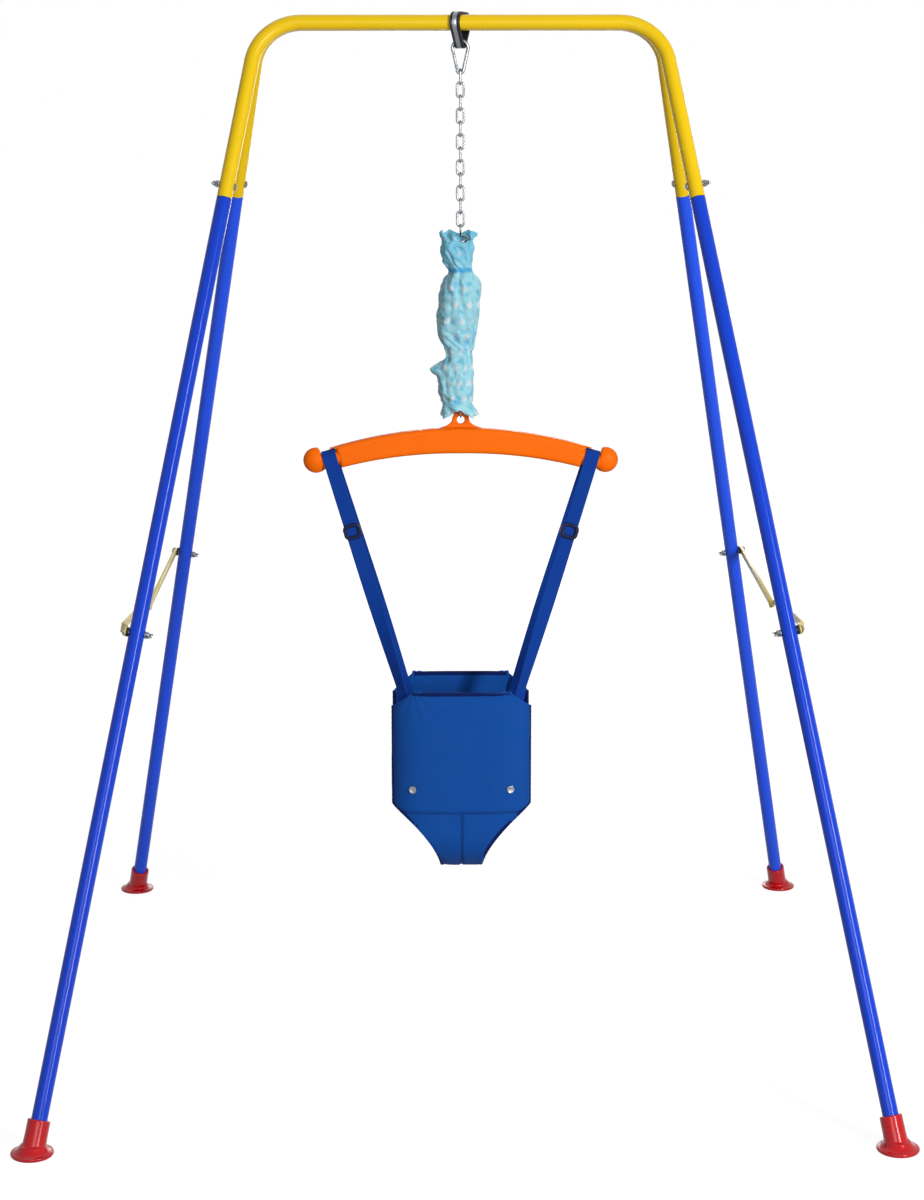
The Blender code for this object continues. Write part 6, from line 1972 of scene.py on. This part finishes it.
def buckle(side):
    start, along = front_run(side)
    _, _, across = strap_axes(side)
    across = across * side
    out = along.cross(across) * -1
    place = placed(start + along * BUCKLE_ALONG, out, across)
    forward = 1.0 if out.y < 0 else -1.0
    rail = (BUCKLE_WIDTH - WEBBING_WIDTH) / 2 - BUCKLE_PLAY
    layer = (WEBBING_THICKNESS + BUCKLE_BAR_THICKNESS) / 2 + BUCKLE_PLAY
    depth = 2 * layer + BUCKLE_BAR_THICKNESS
    rail_x = (BUCKLE_WIDTH - rail) / 2
    rail_size = (rail, BUCKLE_HEIGHT - 2 * BUCKLE_LOOP_BAR, depth)
    middle_size = (BUCKLE_WIDTH - rail, BUCKLE_MIDDLE_BAR, BUCKLE_BAR_THICKNESS)
    shapes = [
        block(rail_size, Matrix.Translation((-rail_x, 0.0, 0.0)), BUCKLE_EDGE, 4),
        block(rail_size, Matrix.Translation((rail_x, 0.0, 0.0)), BUCKLE_EDGE, 4),
        block(middle_size, Matrix.Translation((0.0, 0.0, -layer * forward)), BUCKLE_EDGE, 4),
    ]
    loop = buckle_loop()
    loop.transform(Matrix.Translation((0.0, 0.0, layer * forward)))
    mesh = joined(loop, *shapes)
    mesh.transform(place)
    name, node = f"slide_buckle_{SIDES[side]}", f"buckle_{SIDES[side]}"
    return piece(name, mesh, BUCKLE_NAVY, f"{node}_body", node, 60)


for side in SIDES:
    print(buckle(side).name, "made")

# %% [markdown]
# ## Stitches
#
# Every seam shows as a row of short threads. One tree walks along any line, and lays a thread on
# it at a fixed spacing. The lines come from the panel's own surface, lifted by the crown of the
# cloth, so that the threads lie in it.

# %% Stitch rows
STITCH_PITCH = 0.0030
STITCH_LENGTH = 0.0021
STITCH_RADIUS = 0.00030
STITCH_PROUD = 0.0001
SEAM_ROW_OFFSET = 0.022
MIDDLE_ROW_OFFSET = 0.0024
TOP_ROW_STATION = 0.040
EDGE_ROW_INSET = 0.0062

sewing = Recipe("stitch_row", pitch=STITCH_PITCH, length=STITCH_LENGTH, radius=STITCH_RADIUS)
seam_line = sewing.node("GeometryNodeMeshToCurve", None, {0: sewing.shape})
spacing = {"Curve": seam_line, "Length": sewing.size("pitch")}
dots = sewing.node("GeometryNodeCurveToPoints", {"mode": "LENGTH"}, spacing)
facing = Signal(sewing, dots.socket.node.outputs["Rotation"])
bead = sewing.node("GeometryNodeMeshUVSphere", None, {"Segments": 6, "Rings": 4, "Radius": 1.0})
thread_size = sewing.node(
    "ShaderNodeCombineXYZ",
    None,
    {"X": sewing.size("radius"), "Y": sewing.size("radius"), "Z": sewing.size("length") * 0.5},
)
row_of_threads = sewing.node(
    "GeometryNodeInstanceOnPoints",
    None,
    {"Points": dots, "Instance": bead, "Rotation": facing, "Scale": thread_size},
)
sewing.end(row_of_threads)


def panel_line(face, shares_and_stations):
    """A line on a panel, lifted off the surface as the cloth is."""
    points = []
    for share, station in shares_and_stations:
        point, _, _, out = panel_frame(face, share, station)
        swell = crown(share, station, CROWN * 0.9)
        lift = swell + creases(point, share, station, 3.0 * face) + STITCH_PROUD
        points.append(point + out * lift)
    return points


def inset_share(station, inset):
    """The share across that lies an inset from the panel's side edge."""
    return 1.0 - inset / panel_row(station)[0]


def stitch_rows():
    """Rows of (share, station) pairs, the same on both panels."""
    rows = []
    for offset in (-SEAM_ROW_OFFSET, SEAM_ROW_OFFSET):
        rows.append([(-0.93 + 1.86 * i / 80, SEAM_STATION + offset) for i in range(81)])
    for half_gap in (-MIDDLE_ROW_OFFSET, MIDDLE_ROW_OFFSET):
        stations = [SEAM_STATION + 0.03 + (1.92 - SEAM_STATION - 0.03) * i / 70 for i in range(71)]
        rows.append([(half_gap / panel_row(s)[0], s) for s in stations])
    rows.append([(-0.93 + 1.86 * i / 80, TOP_ROW_STATION) for i in range(81)])
    for side in SIDES:
        stations = [0.06 + 1.84 * i / 180 for i in range(181)]
        rows.append([(side * inset_share(s, EDGE_ROW_INSET), s) for s in stations])
    return rows


for face in FACES:
    meshes = []
    for row_points in stitch_rows():
        meshes.append(sewing.make(polyline(panel_line(face, row_points)), material=THREAD))
    made = piece(f"stitches_{FACES[face]}", joined(*meshes), THREAD, "harness", ())
    print(made.name, len(made.data.polygons), "faces")

# %% [markdown]
# ## The gathered sleeve
#
# A tube of thin cotton covers the spring, so that no finger gets between its turns. It is cut
# longer and wider than the space that it has, and an elastic thread gathers it near each end,
# with a frill beyond.
#
# Gathered cloth is what a simulation is good at. The tube starts roughly in place, and a second
# shape key holds the size that it was cut to. The two gathered rows stay where they are. The
# rest is drawn only weakly to its start, so it buckles into folds of its own, while a rod in the
# spring's place keeps it out. The result is applied to the mesh, and the rod goes. Small ridges
# are pressed into it last, and an attribute tells the finish how deep each hollow is, so that it
# paints shade into the hollows.

# %% Sleeve
SLEEVE_TOP_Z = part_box("spring_sleeve")[1].z
SLEEVE_LOW_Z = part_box("spring_sleeve")[0].z
SLEEVE_HEIGHT = SLEEVE_TOP_Z - SLEEVE_LOW_Z - 0.002
SLEEVE_RADIUS = 0.0282
SLEEVE_LENGTH = 0.262
SLEEVE_COLUMNS = 48
SLEEVE_ROWS = 84
SLEEVE_THICKNESS = 0.0006
SLEEVE_FRAMES = 30
ROD_RADIUS = SPRING_RADIUS + SPRING_WIRE_RADIUS + GAP
CLOTH_OFF_ROD = 0.0012
UPPER_THREAD = 0.065
LOWER_THREAD = 0.935
HELD_BETWEEN = 0.26
HELD_FRILL = 0.85
CRUMPLE_SIZE = 0.0120
CRUMPLE_DEPTH = 0.0026
SLEEVE_KNOTS = (
    (0.00, 0.78, 0.12),
    (0.06, 0.68, 0.16),
    (0.10, 0.80, 0.19),
    (0.17, 0.78, 0.19),
    (0.192, 0.74, 0.18),
    (0.204, 0.50, 0.05),
    (0.222, 0.50, 0.02),
    (0.245, 0.80, -0.03),
    (0.28, 0.92, -0.04),
    (0.38, 0.99, 0.10),
    (0.55, 0.92, 0.18),
    (0.67, 0.64, 0.08),
    (0.75, 0.76, 0.15),
    (0.87, 0.87, 0.28),
    (0.935, 0.66, 0.18),
    (1.00, 0.80, 0.05),
)


def eased(share, column):
    """A value between the knots, with its corners rounded."""
    total = 0.0
    for spread in (-0.008, 0.0, 0.008):
        at = min(1.0, max(0.0, share + spread))
        for low, high in zip(SLEEVE_KNOTS, SLEEVE_KNOTS[1:]):
            if at <= high[0]:
                part = (at - low[0]) / (high[0] - low[0])
                total += low[column] + (high[column] - low[column]) * part
                break
    return total / 3


def bump(turn, middle, width):
    """1 at one direction round the tube, falling to 0 beside it."""
    off = math.remainder(turn - middle, 2 * math.pi)
    return math.exp(-((off / width) ** 2))


def rim_drop(turn):
    """How far the upper edge is cut down: a deep slit in front, small dips elsewhere."""
    return 0.016 * bump(turn, -1.15, 0.45) + 0.0025 * (1 + math.sin(5 * turn + 0.4))


def start_point(column, row):
    share = row / SLEEVE_ROWS
    turn = 2 * math.pi * column / SLEEVE_COLUMNS
    radius = SLEEVE_RADIUS * eased(share, 1)
    spot = Vector((math.cos(turn) * 1.3, math.sin(turn) * 1.3, share * 6.0))
    radius *= 1.0 + 0.14 * noise.noise(spot * 1.5) + 0.10 * noise.noise(spot * 4.0)
    rim = max(0.0, 1.0 - share / UPPER_THREAD)
    hem = max(0.0, (share - LOWER_THREAD) / (1 - LOWER_THREAD))
    radius *= 1.0 + 0.16 * (rim + hem) * math.sin(7 * turn + 1.0)
    radius += 0.0170 * bump(turn, math.pi, 0.5) * math.exp(-(((share - 0.745) / 0.030) ** 2))
    shift = SLEEVE_RADIUS * eased(share, 2)
    point = Vector((radius * math.cos(turn) - shift, radius * math.sin(turn), 0.0))
    if point.length < ROD_RADIUS + CLOTH_OFF_ROD:
        point *= (ROD_RADIUS + CLOTH_OFF_ROD) / point.length
    point.z = SLEEVE_TOP_Z + 0.003 - SLEEVE_HEIGHT * share
    point.z -= rim_drop(turn) * rim
    point.z += hem * (0.006 * bump(turn, -1.5, 0.5) + 0.003 * math.sin(3 * turn + 0.6))
    return point


def cut_point(column, row):
    """The same point on the tube as it was cut, before it was gathered."""
    share = row / SLEEVE_ROWS
    turn = 2 * math.pi * column / SLEEVE_COLUMNS
    radius = SLEEVE_WIDTH / (2 * math.pi)
    drop = rim_drop(turn) * max(0.0, 1.0 - share / UPPER_THREAD)
    height = SLEEVE_TOP_Z - SLEEVE_LENGTH * share - drop
    return Vector((radius * math.cos(turn), radius * math.sin(turn), height))


def sleeve_mesh():
    work = bmesh.new()
    uv = work.loops.layers.uv.new("metres")
    rows = [
        [work.verts.new(start_point(c, r)) for c in range(SLEEVE_COLUMNS)]
        for r in range(SLEEVE_ROWS + 1)
    ]
    for r, (upper, lower) in enumerate(zip(rows, rows[1:])):
        for c in range(SLEEVE_COLUMNS):
            j = (c + 1) % SLEEVE_COLUMNS
            made = work.faces.new((upper[c], lower[c], lower[j], upper[j]))
            spots = ((c, r), (c, r + 1), (c + 1, r + 1), (c + 1, r))
            for loop, (column, row) in zip(made.loops, spots):
                place = (column / SLEEVE_COLUMNS * SLEEVE_WIDTH, row / SLEEVE_ROWS * SLEEVE_LENGTH)
                loop[uv].uv = place
    return finished(work, "sleeve")


def spring_rod():
    """A plain rod in the spring's place, which the cloth can't pass."""
    profile = [(0.0, SPRING_TOP_Z), (ROD_RADIUS, SPRING_TOP_Z)]
    profile += [(ROD_RADIUS, SPRING_LOW_Z), (0.0, SPRING_LOW_Z)]
    rod = linked("rod", turned(profile, Matrix(), 32))
    rod.modifiers.new("collision", "COLLISION")
    rod.collision.thickness_outer = 0.001
    return rod


def gathered(mesh):
    """Lets the tube buckle between its threads, and gives the mesh that results."""
    obj = linked("falling_sleeve", mesh)
    obj.shape_key_add(name="start")
    cut = obj.shape_key_add(name="cut")
    for i in range(len(mesh.vertices)):
        row, column = divmod(i, SLEEVE_COLUMNS)
        cut.data[i].co = cut_point(column, row)
    held = obj.vertex_groups.new(name="held")
    threads = [round(UPPER_THREAD * SLEEVE_ROWS), round(LOWER_THREAD * SLEEVE_ROWS)]
    for row in range(SLEEVE_ROWS + 1):
        ring = [row * SLEEVE_COLUMNS + column for column in range(SLEEVE_COLUMNS)]
        weight = HELD_BETWEEN if threads[0] < row < threads[1] else HELD_FRILL
        held.add(ring, 1.0 if row in threads else weight, "REPLACE")
    cloth = obj.modifiers.new("cloth", "CLOTH")
    settings = cloth.settings
    settings.quality = 5
    settings.mass = 0.12
    settings.tension_stiffness = 25.0
    settings.compression_stiffness = 25.0
    settings.shear_stiffness = 8.0
    settings.bending_stiffness = 0.30
    settings.air_damping = 2.0
    settings.vertex_group_mass = held.name
    settings.rest_shape_key = cut
    settings.effector_weights.gravity = 0.6
    touch = cloth.collision_settings
    touch.distance_min = 0.001
    touch.use_self_collision = True
    touch.self_distance_min = 0.0016
    rod = spring_rod()
    scene = bpy.context.scene
    for frame_number in range(1, SLEEVE_FRAMES + 1):
        scene.frame_set(frame_number)
    seen = obj.evaluated_get(bpy.context.evaluated_depsgraph_get())
    fallen = bpy.data.meshes.new_from_object(seen)
    scene.frame_set(1)
    bpy.data.objects.remove(obj)
    bpy.data.objects.remove(rod)
    return fallen


def crumpled(mesh):
    """Presses small sharp ridges and soft hollows into the cloth, and notes how deep they are for
    the painted shade.
    """
    crease_shade = mesh.attributes.new("crease_shade", "FLOAT", "POINT")
    moves = []
    for vertex in mesh.vertices:
        spot = vertex.co / CRUMPLE_SIZE
        fold = abs(noise.noise(spot)) + 0.5 * abs(noise.noise(spot * 2.3))
        crease_shade.data[vertex.index].value = min(1.0, max(0.0, (fold - 0.30) / 0.5))
        moves.append(vertex.normal * CRUMPLE_DEPTH * (0.35 - fold))
    for vertex, move in zip(mesh.vertices, moves):
        vertex.co += move
    return mesh


def sleeve():
    mesh = gathered(sleeve_mesh())
    area = sum(polygon.area for polygon in mesh.polygons)
    wall = {"thickness": SLEEVE_THICKNESS, "offset": -1.0}
    mesh = crumpled(reshaped(mesh, ("SUBSURF", {"levels": 1, "render_levels": 1})))
    mesh = reshaped(mesh, ("SOLIDIFY", wall))
    mesh.materials.clear()
    mesh.materials.append(SLEEVE_COTTON)
    mesh.shade_smooth()
    obj = linked("gathered_sleeve", mesh)
    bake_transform(obj)
    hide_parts("spring_sleeve")
    cut_area = SLEEVE_WIDTH * SLEEVE_LENGTH
    print(f"sleeve of {area * 1e4:.0f} cm2, cut from {cut_area * 1e4:.0f} cm2")
    return obj


sleeve()

# %% [markdown]
# ## Floor and light
#
# The object stands on a plain pale floor in soft studio light. A tall narrow lamp at the right
# gives the long pale streaks on the tubes. Wide, weaker ones fill from in front, from above and
# from behind, and an even world lights the rest. What the camera sees of the floor and the world
# is white, because both ask the Light Path node whether the ray comes from the camera or from a
# mirror-like surface. The floor's own tone under that keeps the object's shadow.


# %% Stage
SKY_LEVEL = 0.20
FLOOR_TONE = 0.30
FLOOR_GLOW = (0.87, 0.97)
FLOOR_REACH = (1.2, 5.0)
FLOOR_SIZE = 30.0
WHITE = (1.0, 1.0, 1.0, 1.0)


def seen_by(tree, *kinds):
    """1 for rays of these kinds, and 0 for all others."""
    rays = tree.node("ShaderNodeLightPath").socket.node.outputs
    seen = Signal(tree, rays[kinds[0]])
    for kind in kinds[1:]:
        seen = seen.do("MAXIMUM", Signal(tree, rays[kind]))
    return seen


def floor():
    finish = Finish("pale_floor")
    seen = seen_by(finish, "Is Camera Ray", "Is Glossy Ray")
    length = {"operation": "LENGTH"}
    away = finish.node("ShaderNodeVectorMath", length, {0: finish.place()}, "Value")
    finish.set(
        Base_Color=(FLOOR_TONE, FLOOR_TONE, FLOOR_TONE, 1.0),
        Roughness=0.9,
        Specular_IOR_Level=0.0,
        Emission_Color=WHITE,
        Emission_Strength=seen * finish.limit(away, *FLOOR_REACH, *FLOOR_GLOW),
    )
    work = bmesh.new()
    bmesh.ops.create_grid(work, x_segments=1, y_segments=1, size=FLOOR_SIZE)
    mesh = finished(work, "floor")
    mesh.materials.append(finish.material)
    obj = linked("floor", mesh)
    return obj


def world():
    made = bpy.data.worlds.new("studio")
    bpy.context.scene.world = made
    made.use_nodes = True
    sky = Nodes()
    sky.tree = made.node_tree
    sky.tree.nodes.clear()
    seen = seen_by(sky, "Is Camera Ray", "Is Transmission Ray", "Is Glossy Ray")
    soft = sky.node("ShaderNodeBackground", None, {"Color": WHITE, "Strength": SKY_LEVEL})
    bright = sky.node("ShaderNodeBackground", None, {"Color": WHITE})
    mix = sky.node("ShaderNodeMixShader", None, {0: seen, 1: soft, 2: bright})
    leave = sky.tree.nodes.new("ShaderNodeOutputWorld")
    sky.tree.links.new(mix.socket, leave.inputs[0])


def lamp(name, place, target, size, power):
    data = bpy.data.lights.new(name, "AREA")
    data.shape = "RECTANGLE"
    data.size, data.size_y = size
    data.energy = power
    obj = linked(name, data)
    obj.matrix_world = placed(Vector(place), Vector(place) - Vector(target), X_AXIS)
    return obj


floor()
world()
MIDDLE = (0.0, 0.0, 0.7)
lamp("key_lamp", (2.1, -3.0, 1.5), MIDDLE, (0.30, 2.2), 108.0)
lamp("fill_lamp", (-0.2, -4.0, 1.4), MIDDLE, (1.6, 1.6), 34.0)
lamp("top_lamp", (-0.4, 0.8, 3.4), MIDDLE, (2.2, 2.2), 10.0)
lamp("back_lamp", (0.6, 4.0, 1.5), MIDDLE, (1.8, 1.8), 38.0)
print("stage set")
